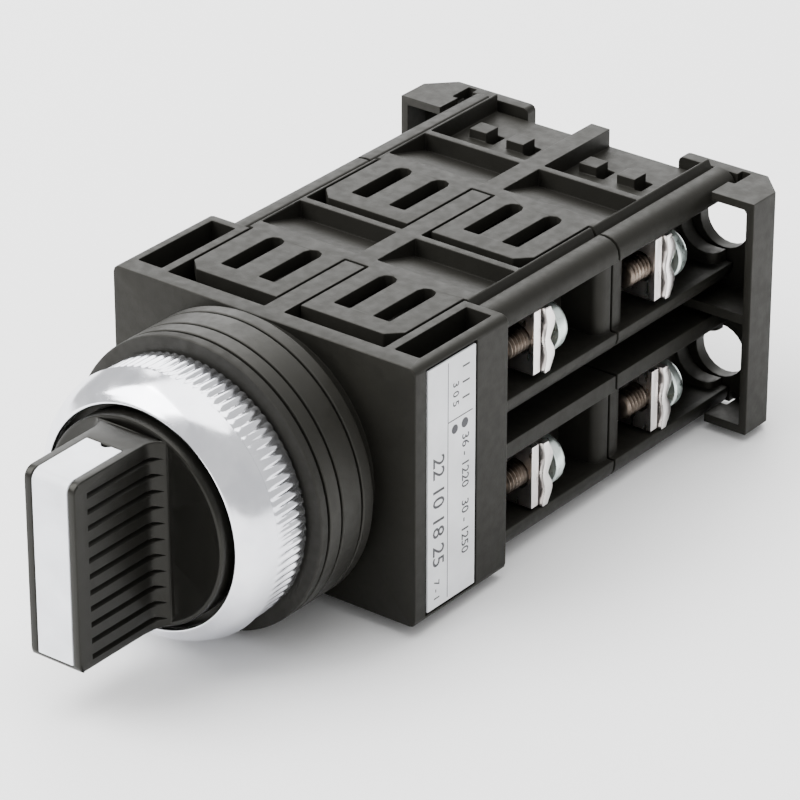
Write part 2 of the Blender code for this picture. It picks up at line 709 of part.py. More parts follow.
def index_spring(surface):
    start = CAM_RADIUS + GAP + INDEX_LENGTH + GAP
    obj = coil("index_spring", INDEX_SPRING_RADIUS, INDEX_SPRING_WIRE, INDEX_SPRING_TURNS, start,
               start + INDEX_SPRING_LENGTH, surface)
    obj.data.transform(Matrix.Rotation(math.radians(90), 4, "Z"))
    obj.data.transform(Matrix.Translation((0, CAM_PLATE_START + CAM_PLATE_DEPTH / 2, 0)))
    return obj


def lever_side(outset, top_end):
    """The front and top of the lever from the side, moved in by outset, as (y, z) points from the bottom up."""
    slope = (LEVER_TOP_REAR - LEVER_TOP) / (KNOB_REACH - SKIRT_FRONT)
    front = -KNOB_REACH + outset
    radius = max(LEVER_ROUND - outset, GAP)
    top = LEVER_TOP - outset
    centre = (front + radius, top - radius)
    points = arc(centre, radius, 180, 90, 5)
    points.append((top_end, top + slope * (top_end - front - radius)))
    return points


def knob(surface):
    """The lever, its domed skirt and the hollow hub behind it, with finger grooves and a seat for the insert."""
    dome = []
    for step in range(4):
        share = step / 3
        dome.append((SKIRT_RADIUS * share, -SKIRT_FRONT - SKIRT_DOME * (1 - share ** 2)))
    hub_rear = -SKIRT_REAR + HUB_LENGTH
    boss_rear = -SKIRT_REAR + BOSS_LENGTH
    bore = SHAFT_RADIUS + GAP
    well = -SHAFT_FRONT - GAP
    profile = dome + [(SKIRT_RADIUS, -SKIRT_REAR), (HUB_RADIUS, -SKIRT_REAR), (HUB_RADIUS, hub_rear),
                      (HUB_RADIUS - HUB_WALL, hub_rear), (HUB_RADIUS - HUB_WALL, -SKIRT_REAR + GAP),
                      (BOSS_RADIUS, -SKIRT_REAR + GAP), (BOSS_RADIUS, boss_rear), (bore, boss_rear), (bore, well),
                      (0, well)]
    body = turned("knob", profile, LARGE, closed=False)
    rear = -SKIRT_FRONT + GAP
    side = [(rear, -LEVER_BOTTOM)]
    side += [(-KNOB_REACH + LEVER_ROUND, -LEVER_BOTTOM)]
    side += arc((-KNOB_REACH + LEVER_ROUND, -LEVER_BOTTOM + LEVER_ROUND), LEVER_ROUND, 270, 180, 4)[1:]
    side += lever_side(0, -SKIRT_FRONT - SKIRT_DOME / 2)
    side += [(rear, LEVER_TOP)]
    lever = prism("lever", side, "X", -LEVER_HALF, LEVER_HALF)
    combine(lever, rod("lever_end", LEVER_BOTTOM, (-KNOB_REACH - PAST, rear + PAST), steps=LARGE), "INTERSECT")
    join(body, lever)
    for turn in SIDES.values():
        for rib in range(RIB_COUNT):
            z = RIB_TOP - rib * RIB_PITCH
            x = sorted((turn * (LEVER_HALF - RIB_DEPTH), turn * (LEVER_HALF + PAST)))
            groove = [(x[0], z - RIB_WIDTH / 6), (x[0], z + RIB_WIDTH / 6), (x[1], z + RIB_WIDTH), (x[1], z - RIB_WIDTH)]
            cut(body, prism("groove", groove, "Y", -RIB_FRONT, -RIB_REAR))
    half = INSERT_HALF + GAP
    seat = [(-KNOB_REACH - PAST, -INSERT_BOTTOM - GAP), (-KNOB_REACH - PAST, LEVER_TOP_REAR + PAST),
            (-INSERT_REAR + GAP, LEVER_TOP_REAR + PAST)]
    seat += list(reversed(lever_side(INSERT_THICKNESS + GAP, -INSERT_REAR + GAP)))
    seat += [(-KNOB_REACH + INSERT_THICKNESS + GAP, -INSERT_BOTTOM - GAP)]
    cut(body, prism("seat", seat, "X", -half, half))
    return finish(body, surface, True)


def knob_insert(surface):
    """The bent strip that marks the lever's front and top."""
    outer = [(-KNOB_REACH, -INSERT_BOTTOM)] + lever_side(0, -INSERT_REAR)
    inner = [(-KNOB_REACH + INSERT_THICKNESS, -INSERT_BOTTOM)] + lever_side(INSERT_THICKNESS, -INSERT_REAR)
    body = prism("knob_insert", outer + list(reversed(inner)), "X", -INSERT_HALF, INSERT_HALF)
    return finish(body, surface)


def terminal_screw_mesh():
    """A pan head screw along Y with a cross recess, its thread left plain, centred on its own axis."""
    under = PLATE_START + PLATE_THICKNESS + GAP + CLAMP_THICKNESS + CLAMP_ARCH + 2 * GAP
    tip = under - SCREW_LENGTH
    top = under + HEAD_HEIGHT
    profile = [(0, tip), (SCREW_RADIUS - 2 * RING_EDGE, tip), (SCREW_RADIUS, tip + 2 * RING_EDGE),
               (SCREW_RADIUS, under), (HEAD_RADIUS, under), (HEAD_RADIUS, under + HEAD_RIM)]
    for step in range(1, 4):
        turn = math.radians(90) * step / 3
        profile.append((HEAD_RADIUS * math.cos(turn), under + HEAD_RIM + (HEAD_HEIGHT - HEAD_RIM) * math.sin(turn)))
    profile[-1] = (0, top)
    body = turned("terminal_screw", profile, SMALL, closed=False)
    for length, width in ((RECESS_LENGTH, RECESS_WIDTH), (RECESS_WIDTH, RECESS_LENGTH)):
        x = (-length / 2, length / 2)
        z = (-width / 2, width / 2)
        cut(body, block("recess", x, (top - RECESS_DEPTH, top + PAST), z))
    mesh = body.data
    bpy.data.objects.remove(body)
    return mesh


def clamp_plate_mesh():
    """A saddle washer with an arch over each wire, above and below the screw."""
    start = PLATE_START + PLATE_THICKNESS + GAP
    front = []
    rear = []
    steps = 8
    for step in range(steps + 1):
        z = -CLAMP_HALF_HEIGHT + 2 * CLAMP_HALF_HEIGHT * step / steps
        lift = CLAMP_ARCH * math.sin(math.tau * step / steps) ** 2
        front.append((start + lift, z))
        rear.append((start + lift + CLAMP_THICKNESS, z))
    body = prism("clamp_plate", front + list(reversed(rear)), "X", -CLAMP_HALF_WIDTH, CLAMP_HALF_WIDTH)
    cut(body, rod("hole", SCREW_RADIUS + GAP, (start - PAST, start + CLAMP_THICKNESS + CLAMP_ARCH + PAST), steps=SMALL))
    mesh = body.data
    bpy.data.objects.remove(body)
    return mesh


def contact_plate(name, side, level, front, surface):
    """A stamped strip: a plate under the screw, a step inside the wall and a fixed contact at its inner end."""
    start = front + PLATE_START
    inner = start + STRIP_JOG
    thick = PLATE_THICKNESS
    outline = [(PLATE_REACH, start), (PLATE_REACH, start + thick), (STRIP_LEG + thick, start + thick),
               (STRIP_LEG + thick, inner + thick), (STRIP_TIP, inner + thick), (STRIP_TIP, inner), (STRIP_LEG, inner),
               (STRIP_LEG, start)]
    high = TERMINAL_Z + PLATE_HALF_HEIGHT
    body = prism(name, mirrored(outline, side), "Z", *sorted((level * STRIP_LOW, level * high)))
    above = sorted((level * STRIP_HIGH, level * (high + PAST)))
    waist = (start - PAST, inner + thick + PAST)
    cut(body, block("above", band(side, STRIP_TIP - PAST, CHAMBER_INNER + GAP), waist, above))
    middle = level * (STRIP_LOW + STRIP_HIGH) / 2
    join(body, rod("button", BUTTON_RADIUS, (inner - BUTTON_HEIGHT, inner + thick / 2), (side * PLUNGER_X, middle), SMALL))
    hole = rod("hole", SCREW_RADIUS + GAP, (start - PAST, start + thick + PAST),
               (side * TERMINAL_X, level * TERMINAL_Z), SMALL)
    cut(body, hole)
    return finish(body, surface)


def plunger(name, side, front, surface):
    """A push rod with a round nose, a window for the bridge and a round tail inside the spring."""
    half = PLUNGER_HALF
    nose = front - PLUNGER_NOSE
    tip = PLUNGER_NOSE_RADIUS
    tail = front + BLOCK_DEPTH - PLUNGER_NOSE - GAP
    carrier = front + CARRIER_START
    carrier_end = carrier + CARRIER_LENGTH
    profile = [(0, nose), (tip * 0.6, nose + tip * 0.2), (tip, nose + tip * 0.8), (tip, nose + 2 * tip), (0, nose + 2 * tip)]
    body = placed(turned(name, profile, SMALL, closed=False), x=side * PLUNGER_X)
    square = band(side, PLUNGER_X - half, PLUNGER_X + half)
    join(body, block("square", square, (nose + tip, carrier + GAP), (-half, half)))
    wide = band(side, PLUNGER_X - CARRIER_HALF_WIDTH, PLUNGER_X + CARRIER_HALF_WIDTH)
    join(body, block("carrier", wide, (carrier, carrier_end), (-CARRIER_HALF_HEIGHT, CARRIER_HALF_HEIGHT)))
    join(body, rod("tail", PLUNGER_NOSE_RADIUS, (carrier_end - GAP, tail), (side * PLUNGER_X, 0), SMALL))
    window = BRIDGE_WIDTH / 2 + GAP
    window_y = (front + BRIDGE_START - GAP, front + BRIDGE_START + BRIDGE_THICKNESS + GAP)
    tall = CARRIER_HALF_HEIGHT + PAST
    cut(body, block("window", band(side, PLUNGER_X - window, PLUNGER_X + window), window_y, (-tall, tall)))
    return finish(body, surface)


def contact_bridge(name, side, front, surface):
    """The bar that closes the upper and lower contacts, with a button at each end."""
    start = front + BRIDGE_START
    end = start + BRIDGE_THICKNESS
    half = BRIDGE_WIDTH / 2
    body = block(name, band(side, PLUNGER_X - half, PLUNGER_X + half), (start, end),
                 (-BRIDGE_HALF_LENGTH, BRIDGE_HALF_LENGTH))
    for level in LEVELS.values():
        middle = level * (STRIP_LOW + STRIP_HIGH) / 2
        reach = (start + BRIDGE_THICKNESS / 2, end + BUTTON_HEIGHT)
        join(body, rod("button", BUTTON_RADIUS, reach, (side * PLUNGER_X, middle), SMALL))
    return finish(body, surface)


def return_spring(name, side, front, surface):
    start = front + CARRIER_START + CARRIER_LENGTH + GAP
    end = front + SPRING_POCKET_END - GAP
    obj = coil(name, SPRING_RADIUS, SPRING_WIRE, SPRING_TURNS, start, end, surface)
    obj.data.transform(Matrix.Translation((side * PLUNGER_X, 0, 0)))
    return obj


def terminal_cover(name, side, surface):
    """A cover over the rear terminals of one side: flange, rear plate, shelves and a key in the side groove."""
    outer = COVER_WIDTH / 2
    inner = outer - COVER_WALL
    plate = REAR_FACE
    rear = COVER_REAR
    front = rear - COVER_REACH
    turn = COVER_CHAMFER - COVER_WALL * 0.6
    outline = [(outer, front), (outer, rear - COVER_CHAMFER), (outer - COVER_CHAMFER, rear), (COVER_INNER, rear),
               (COVER_INNER, plate), (inner - turn, plate), (inner, plate - turn), (inner, front)]
    top = COVER_HEIGHT / 2
    body = prism(name, mirrored(outline, side), "Z", -top, top)
    edge = BLOCK_WIDTH / 2 + GAP
    shelf = [(edge, front), (inner + COVER_WALL / 2, front), (inner + COVER_WALL / 2, plate - turn),
             (inner - turn, plate + COVER_PLATE / 2), (edge, plate + COVER_PLATE / 2)]
    for level in LEVELS.values():
        join(body, prism("shelf", mirrored(shelf, side), "Z", *sorted((level * (top - COVER_WALL), level * top))))
    key = [(edge - COVER_KEY_DEPTH, front)] + shelf[1:-1] + [(edge - COVER_KEY_DEPTH, plate + COVER_PLATE / 2)]
    middle = (SIDE_GROOVE_TOP + SIDE_GROOVE_BOTTOM) / 2
    join(body, prism("key", mirrored(key, side), "Z", middle - COVER_BARRIER / 2, middle + COVER_BARRIER / 2))
    for level in LEVELS.values():
        hole = rod("hole", DRIVER_HOLE_RADIUS, (plate - PAST, rear + PAST),
                   (side * (TERMINAL_X + DRIVER_HOLE_OUTSET), level * TERMINAL_Z), MIDDLE)
        cut(body, hole)
        corner = arc((COVER_INNER + COVER_CORNER, top - COVER_CORNER), COVER_CORNER, 90, 180, 4)
        corner += [(COVER_INNER - PAST, top - COVER_CORNER), (COVER_INNER - PAST, top + PAST),
                   (COVER_INNER + COVER_CORNER, top + PAST)]
        cut(body, prism("corner", mirrored(corner, side, level), "Y", plate - PAST, rear + PAST))
        notch_x = band(side, edge - GAP, edge + COVER_NOTCH_WIDTH)
        notch_z = sorted((level * (top - COVER_WALL - GAP), level * (top + PAST)))
        cut(body, block("notch", notch_x, (plate - COVER_NOTCH_LENGTH, plate + COVER_PLATE / 2 + GAP), notch_z))
    return finish(body, surface)


def build():
    """Makes every piece and hangs it on the empty that carries it."""
    for obj in list(bpy.data.objects):
        bpy.data.objects.remove(obj, do_unlink=True)

    housing = material("housing_plastic", (0.050, 0.048, 0.043), 0.55)
    knob_black = material("knob_plastic", (0.045, 0.045, 0.042), 0.38)
    ring_black = material("ring_plastic", (0.040, 0.039, 0.036), 0.50)
    rubber = material("gasket_rubber", (0.030, 0.030, 0.028), 0.75)
    chrome = material("bezel_chrome", (0.80, 0.81, 0.82), 0.14, 1.0)
    white = material("insert_plastic", (0.84, 0.85, 0.88), 0.40)
    paper = material("label_film", (0.74, 0.74, 0.72), 0.60)
    plated = material("plated_steel", (0.66, 0.70, 0.68), 0.30, 1.0)
    nickel = material("nickel_plate", (0.74, 0.73, 0.70), 0.25, 1.0)
    copper = material("contact_copper", (0.72, 0.45, 0.30), 0.35, 1.0)
    nylon = material("plunger_nylon", (0.62, 0.60, 0.55), 0.50)
    steel = material("spring_steel", (0.60, 0.60, 0.61), 0.30, 1.0)

    still = [base_housing(housing), label(paper)]
    still.append(ring("lock_ring", LOCK_RING_FRONT, LOCK_RING_DEPTH, ring_black))
    still.append(ring("spacer_ring", SPACER_FRONT, SPACER_DEPTH, ring_black))
    still.append(ring("washer_ring", WASHER_FRONT, WASHER_DEPTH, ring_black))
    still.append(ring("panel_gasket", GASKET_FRONT, GASKET_DEPTH, rubber))
    still.append(bezel_ring(chrome))
    still.append(operator_sleeve(ring_black))
    still.append(shaft_seal(rubber))
    still.append(index_pin(steel))
    still.append(index_spring(steel))

    screw_mesh = terminal_screw_mesh()
    clamp_mesh = clamp_plate_mesh()
    moving = []
    for layer_name, layer in LAYERS.items():
        front = BASE_DEPTH + layer * BLOCK_DEPTH
        still.append(contact_block(f"contact_block_{layer_name}", layer, housing))
        for side_name, side in SIDES.items():
            end = f"{layer_name}_{side_name}"
            moving.append(plunger(f"plunger_{end}", side, front, nylon))
            moving.append(contact_bridge(f"contact_bridge_{end}", side, front, copper))
            still.append(return_spring(f"return_spring_{end}", side, front, steel))
            for level_name, level in LEVELS.items():
                corner = f"{end}_{level_name}"
                still.append(contact_plate(f"contact_plate_{corner}", side, level, front, nickel))
                for kind, mesh, surface in (("clamp_plate", clamp_mesh, nickel), ("terminal_screw", screw_mesh, plated)):
                    piece = bpy.data.objects.new(f"{kind}_{corner}", mesh)
                    bpy.context.scene.collection.objects.link(piece)
                    piece.location = (side * TERMINAL_X, front, level * TERMINAL_Z)
                    still.append(finish(piece, surface, kind == "terminal_screw"))
    for side_name, side in SIDES.items():
        still.append(terminal_cover(f"terminal_cover_{side_name}", side, housing))

    turning = [knob(knob_black), knob_insert(white), cam_shaft(nylon), retaining_clip(steel)]

    body_empty = bpy.data.objects.new("switch_axis", None)
    body_empty.location = (0, FRONT_FACE, AXIS_HEIGHT)
    knob_empty = bpy.data.objects.new("knob_axis", None)
    knob_empty.location = (0, FRONT_FACE, AXIS_HEIGHT)
    for empty in (body_empty, knob_empty):
        bpy.context.scene.collection.objects.link(empty)
    for piece in still + moving:
        piece.parent = body_empty
    for piece in turning:
        piece.parent = knob_empty


build()
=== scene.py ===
import json
import math

import bpy
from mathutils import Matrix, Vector


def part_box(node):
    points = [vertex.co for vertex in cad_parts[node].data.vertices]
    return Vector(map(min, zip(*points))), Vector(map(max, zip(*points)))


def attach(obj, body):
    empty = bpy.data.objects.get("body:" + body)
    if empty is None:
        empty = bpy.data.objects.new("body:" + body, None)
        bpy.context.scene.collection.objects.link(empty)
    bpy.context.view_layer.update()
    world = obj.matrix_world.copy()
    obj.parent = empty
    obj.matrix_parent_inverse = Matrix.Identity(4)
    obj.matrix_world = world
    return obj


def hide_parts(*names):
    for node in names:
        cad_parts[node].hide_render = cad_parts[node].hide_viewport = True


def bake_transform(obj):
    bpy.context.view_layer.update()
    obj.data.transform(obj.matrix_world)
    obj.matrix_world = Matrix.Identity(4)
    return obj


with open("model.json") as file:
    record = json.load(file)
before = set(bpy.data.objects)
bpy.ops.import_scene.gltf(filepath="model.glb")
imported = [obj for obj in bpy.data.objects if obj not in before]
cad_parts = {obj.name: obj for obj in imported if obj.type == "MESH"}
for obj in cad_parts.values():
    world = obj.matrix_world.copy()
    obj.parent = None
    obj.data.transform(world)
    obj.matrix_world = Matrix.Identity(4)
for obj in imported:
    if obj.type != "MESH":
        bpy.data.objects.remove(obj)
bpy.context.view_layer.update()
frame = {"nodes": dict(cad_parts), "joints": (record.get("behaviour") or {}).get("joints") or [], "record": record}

# The knob's axis meets the base block's front face here. Places below count from this point.
AXIS = Vector(next(joint["pos_m"] for joint in frame["joints"] if joint["name"] == "knob_turn"))
SIDES = {"left": -1, "right": 1}
LEVELS = {"upper": 1, "lower": -1}
LAYERS = {"front": 0.016, "rear": 0.0382}
TERMINALS = [(layer, side, level) for layer in LAYERS for side in SIDES for level in LEVELS]

# Modelling
MERGE = 0.000001
FLAT_WITHIN = 0.4
BLANK_RADIUS = 0.002
RING_COLUMNS = 144
KNOB_COLUMNS = 128
SCREW_COLUMNS = 40
HOLE_COLUMNS = 32
ROUND_STEPS = 6

# Widths of the rounded edges
GASKET_EDGE = 0.00022
RING_EDGE = 0.00014
LOCK_RING_EDGE = 0.00016
LEVER_EDGE = 0.00016
INSERT_EDGE = 0.00012
BASE_EDGE = 0.00012
BLOCK_EDGE = 0.00014
COVER_EDGE = 0.00013
PLATE_EDGE = 0.0001
CLAMP_EDGE = 0.00010

# Bezel, with the loops of its band counted from the rear and from the knurl's front end
BEZEL_BORE = 0.0130
BEZEL_REAR = -0.0111
BEZEL_BAND = 0.0148
BEZEL_CHAMFER = 0.0002
BEZEL_RIDGE = 0.0150
BEZEL_MOUTH = 0.0123
BAND_REAR_LOOPS = (0.00012, 0.0005, 0.0018)
BAND_FRONT_LOOPS = (0.0012, 0.0003)
KNURL_COUNT = 88
KNURL_TOOTH = (0, 0.10, 0.55, 1, 0.55, 0.10)
KNURL_DEPTH = 0.00021
KNURL_FRONT = -0.0157
KNURL_RUNOUT = 0.0012
KNURL_SKIN = 0.0003
NECK_DEPTH = 0.00022

# Bezel outlines: the ridge as (drop, distance in front of the knurl), the rest as (radius, y)
RIDGE_POINTS = ((0.00010, 0.00014), (0, 0.00028), (0.00004, 0.00042))
CONE_POINTS = ((0.01486, -0.0165), (0.01464, -0.0172), (0.01434, -0.0179), (0.01396, -0.0185),
               (0.01352, -0.0190), (0.01312, -0.01932))
LIP_POINTS = ((0.01286, -0.01950), (0.01268, -0.01964), (0.01254, -0.01970), (0.01240, -0.01967),
              (0.01232, -0.01955))
MOUTH_POINTS = ((BEZEL_MOUTH, -0.01935), (BEZEL_MOUTH, -0.0186), (BEZEL_MOUTH + 0.0002, -0.0184),
                (BEZEL_BORE, -0.0183))

# Lever, with its upper rear corner as (y, drop) points
LEVER_FRONT = -0.0330
LEVER_HALF = 0.0033
LEVER_TOP = 0.01045
LEVER_TOP_REAR = 0.0106
LEVER_BOTTOM = 0.0112
LEVER_BOTTOM_FALL = 0.0003
LEVER_ROUND = 0.0012
LEVER_FLARE = 0.0021
LEVER_FLARE_START = -0.0268
LEVER_FOOT = -0.0190
LEVER_REAR = -0.0185
LEVER_HEEL = ((-0.0212, 0), (-0.0206, 0.0001), (-0.0200, 0.0005), (LEVER_REAR, 0.0006))
BLADE_HALF_HEIGHT = 0.0125
BLADE_CUTTER_HALF = 0.01
FLARE_TURN = 9

# The turned limit that the lever stays within, as (radius, y) points
LIMIT_CORE = 0.001
LIMIT_FRONT = -0.0350
LIMIT_REAR = -0.0195
LIMIT_POINTS = ((LEVER_BOTTOM + 0.0001, LIMIT_FRONT), (LEVER_BOTTOM + 0.0001, -0.0232), (0.01145, -0.0212),
                (0.01150, LIMIT_REAR))

# Finger grooves, which run along the first places of the flank's path and rise out over the last few
GROOVE_COUNT = 11
GROOVE_PITCH = 0.00183
GROOVE_TOP = 0.0086
GROOVE_FRONT = -0.0313
GROOVE_DEPTH = 0.00045
GROOVE_HALF = 0.00032
GROOVE_LIFT = 0.0003
GROOVE_SLANT = 0.0004
GROOVE_PLACES = 11
GROOVE_RUNOUT = 5
GROOVE_CLEAR = 0.6
GROOVE_SLIVER = 0.00001

# Disc and hub behind the lever, with the raised rim as (radius, height) points
DISC_FACE = -0.02045
DISC_CORE = 0.0011
DISC_MIDDLE = 0.0060
DISC_RADIUS = 0.0116
DISC_ROUND = 0.00018
DISC_REAR = -0.0180
DISC_OVERLAP = 0.00003
RIM_POINTS = ((0.0108, 0), (0.01105, 0.00012), (0.01135, 0.00014), (0.01152, 0.00004))
SKIRT_OUTSIDE = 0.0100
SKIRT_INSIDE = 0.0084
SKIRT_REAR = -0.0100
SKIRT_FLOOR = -0.0177
HUB_OUTSIDE = 0.0056
HUB_INSIDE = 0.0043
HUB_REAR = -0.0112
HUB_FLOOR = -0.0179

# White strip in the lever
INSERT_HALF = 0.0023
INSERT_THICKNESS = 0.0009
INSERT_BOTTOM = 0.0103
INSERT_REAR = -0.0246
INSERT_RISE = 0.00012
INSERT_GAP = 0.00004
SEAT_PAST = 0.002
SEAT_TOP = 0.014
NOTCH_RADIUS = 0.00065
NOTCH_X = 0.0002
NOTCH_INSET = 0.00015
NOTCH_LENGTH = 0.006

# Terminal screws, with y counted from the front of their block
TERMINAL_X = 0.0157
TERMINAL_Z = 0.0080
PLATE_FACE = 0.0083
HEAD_SEAT = 0.0107
HEAD_RADIUS = 0.0030
HEAD_HEIGHT = 0.0026
HEAD_CHAMFER = 0.0002
HEAD_SIDE = 0.0009
HEAD_STEPS = 7
HEAD_ARC = 84
HEAD_FULLNESS = 0.8
SHANK_RADIUS = 0.0015
SHANK_TIP = 0.0037
SHANK_TIP_RADIUS = 0.0009
SHANK_TIP_LENGTH = 0.0001
SHANK_NECK = 0.0002
THREAD_PITCH = 0.00058
THREAD_DEPTH = 0.00045
THREAD_START = 0.0003
THREAD_ENDS = 0.0006
THREAD_FLANK = 0.42
THREAD_CREST = 0.54
THREAD_MARGIN = 0.0001
RECESS_HALF_LENGTH = 0.0017
RECESS_HALF_WIDTH = 0.00042
RECESS_DEPTH = 0.0014
RECESS_PAST = 0.001
RECESS_TAPER = 0.6
SCREW_TURN = 0.9
SCREW_TURN_STEP = 1.7
SCREW_TURN_FIRST = 0.4

# Saddle washers under the screw heads
CLAMP_HALF_HEIGHT = 0.0038
CLAMP_HALF_WIDTH = 0.0027
CLAMP_STEPS = 24
CLAMP_FOOT = 0.00015
CLAMP_HOLLOW = 0.00035
CLAMP_THICKNESS = 0.00110
CLAMP_ARCH = 0.00085
CLAMP_FULLNESS = 0.7
CLAMP_HOLE_GAP = 0.00015
CLAMP_HOLE_START = 0.007
CLAMP_HOLE_END = 0.013

# Return springs
SPRING_TURNS = 4
SPRING_WIRE = 0.00025
SPRING_TURN_STEPS = 24

# Print on the label, counted from its front and top edges: texts (height, place), rules (place, size), dots
LABEL_TEXTS = (("22 10 18 25", 0.0027, 0.0009, 0.0103), ("7 - 1", 0.0013, 0.0011, 0.0248),
               ("36 - 1220   30 - 1250", 0.00165, 0.0058, 0.0095), ("1  1  1", 0.0017, 0.0058, 0.0013),
               ("3 0 5", 0.0014, 0.0042, 0.0030))
LABEL_RULES = ((0.0033, 0.0004, 0.00009, 0.0272), (0.0034, 0.0072, 0.0041, 0.00012))
LABEL_DOTS = ((0.0062, 0.0083, 0.00056), (0.0045, 0.0084, 0.00052))
DOT_COLUMNS = 24
PRINT_WEIGHT = 0.00002
PRINT_SUNK = 0.00001
PRINT_HALF = 0.000015
PRINT_THICKNESS = 0.00003

# Patterns in the materials, per metre, and how far they sway the colour
CLOUD_SCALE = 160
CLOUD_DARK = 0.90
CLOUD_LIGHT = 1.1
GLOSS_SCALE = 900
COARSE_SHARE = 0.4
DRIFT_START = 0.38
DRIFT_END = 0.6
WARM = (1.0, 0.985, 0.90)

# Stage: lamps as (name, place, size, power)
FLOOR_SIZE = 6
FLOOR_PLACE = (0, -0.0168, -0.00002)
FLOOR_RISE = 0.0014
FLOOR_RUN = 0.0624
FLOOR_TONE = (0.95, 0.95, 0.95)
FLOOR_ROUGHNESS = 0.9
SKY_STRENGTH = 0.95
LAMP_TARGET = Vector((0, 0.012, 0.012))
LAMPS = (("key", (-0.45, -0.42, 0.62), 0.70, 15.0), ("sheen", (-0.55, 0.72, 0.55), 0.80, 9.0),
         ("top", (-0.05, 0.05, 0.80), 0.80, 8.0))
CAMERA_PLACE = (0.269146, -0.340166, 0.242123)
CAMERA_FORWARD = Vector((-0.54133, 0.70202, -0.46274))
CAMERA_SENSOR = 36
CAMERA_LENS = 207.2
CAMERA_NEAR = 0.01
CAMERA_FAR = 20


def at(x, y, z):
    """A place counted from the knob's axis at the base block's front face."""
    return AXIS + Vector((x, y, z))


def rest():
    """Leaves edit mode with nothing selected."""
    if bpy.context.mode != "OBJECT":
        bpy.ops.object.mode_set(mode="OBJECT")
    bpy.ops.object.select_all(action="DESELECT")


def take(piece):
    """Makes a piece the active one, selected alone."""
    rest()
    piece.select_set(True)
    bpy.context.view_layer.objects.active = piece
    return piece


def edit(piece):
    """Opens a piece with all of its mesh selected."""
    take(piece)
    bpy.ops.object.mode_set(mode="EDIT")
    bpy.ops.mesh.select_mode(type="VERT")
    bpy.ops.mesh.select_all(action="SELECT")


def settled(name):
    """Names the new primitive and puts its place into its mesh."""
    piece = bpy.context.active_object
    piece.name = name
    piece.data.name = name
    bpy.ops.object.transform_apply(location=True, rotation=True, scale=True)
    return piece


def shape(piece, kind, **settings):
    """Applies one modifier."""
    take(piece)
    modifier = piece.modifiers.new(kind.lower(), kind)
    for name, value in settings.items():
        setattr(modifier, name, value)
    bpy.ops.object.modifier_apply(modifier=modifier.name)
    return piece


def smooth(piece, angle=40):
    """Shades a piece smooth, apart from the edges sharper than an angle."""
    take(piece)
    bpy.ops.object.shade_smooth_by_angle(angle=math.radians(angle))
    return piece


def flatten(piece):
    """Lets the large faces set the shading, so that flat walls stay flat beside their rounded edges."""
    return shape(piece, "WEIGHTED_NORMAL", mode="FACE_AREA_WITH_ANGLE", keep_sharp=True)


def rounded(piece, width, segments=2, angle=35):
    """Rounds every edge sharper than an angle, without clamping, so the width must stay under half of the shortest
    edge.
    """
    shape(piece, "TRIANGULATE", min_vertices=5)
    shape(piece, "BEVEL", width=width, segments=segments, limit_method="ANGLE",
          use_clamp_overlap=False, angle_limit=math.radians(angle), miter_outer="MITER_ARC")
    return shape(piece, "TRIANGULATE", min_vertices=5)


def soften(piece, width, segments=2, angle=35):
    """Rounds a piece's edges and shades them as one surface with its walls."""
    return flatten(smooth(rounded(piece, width, segments, angle)))


def carve(piece, cutter, operation="DIFFERENCE"):
    """Cuts, joins or keeps a piece with another solid, which is used up."""
    shape(piece, "BOOLEAN", object=cutter, operation=operation, solver="EXACT")
    bpy.data.objects.remove(cutter)
    return piece


def slab(name, low, high):
    """A box between two corners."""
    rest()
    low, high = at(*low), at(*high)
    bpy.ops.mesh.primitive_cube_add(size=1, location=(low + high) / 2, scale=high - low)
    return settled(name)


def peg(name, radius, start, end):
    """A round bar along the knob's axis."""
    rest()
    bpy.ops.mesh.primitive_cylinder_add(vertices=HOLE_COLUMNS, radius=radius, depth=end - start,
                                        location=at(0, (start + end) / 2, 0), rotation=(math.pi / 2, 0, 0))
    return settled(name)


def lathed(name, profile, columns, capped=False):
    """A circle drawn out loop by loop along a (radius, y) profile about the knob's axis."""
    rest()
    radius, y = profile[0]
    bpy.ops.mesh.primitive_circle_add(vertices=columns, radius=radius, location=at(0, y, 0),
                                      rotation=(math.pi / 2, 0, 0))
    piece = settled(name)
    edit(piece)
    if capped:
        bpy.ops.mesh.edge_face_add()
    for (last, back), (radius, y) in zip(profile, profile[1:]):
        bpy.ops.mesh.extrude_edges_move(TRANSFORM_OT_translate={"value": (0, y - back, 0)})
        bpy.ops.transform.resize(value=(radius / last, 1, radius / last), center_override=at(0, y, 0))
    if capped:
        bpy.ops.mesh.edge_face_add()
    bpy.ops.mesh.select_all(action="SELECT")
    bpy.ops.mesh.remove_doubles(threshold=MERGE)
    bpy.ops.mesh.normals_make_consistent(inside=False)
    rest()
    return piece


def extruded(name, outline, along, start, end):
    """A filled circle drawn into an outline of the other two coordinates, in order, and extruded."""
    rest()
    bpy.ops.mesh.primitive_circle_add(vertices=len(outline), radius=BLANK_RADIUS, fill_type="NGON")
    piece = settled(name)
    for vertex, pair in zip(piece.data.vertices, outline):
        place = list(pair)
        place.insert("XYZ".index(along), start)
        vertex.co = at(*place)
    step = [0, 0, 0]
    step["XYZ".index(along)] = end - start
    edit(piece)
    bpy.ops.mesh.extrude_region_move(TRANSFORM_OT_translate={"value": step})
    bpy.ops.mesh.select_all(action="SELECT")
    bpy.ops.mesh.normals_make_consistent(inside=False)
    rest()
    return piece


def copy_of(node, name):
    """A copy of a CAD node, its loose triangles merged into flat faces."""
    piece = bpy.data.objects.new(name, frame["nodes"][node].data.copy())
    piece.data.name = name
    bpy.context.scene.collection.objects.link(piece)
    edit(piece)
    bpy.ops.mesh.customdata_custom_splitnormals_clear()
    bpy.ops.mesh.remove_doubles(threshold=MERGE)
    bpy.ops.mesh.dissolve_limited(angle_limit=math.radians(FLAT_WITHIN))
    rest()
    return piece


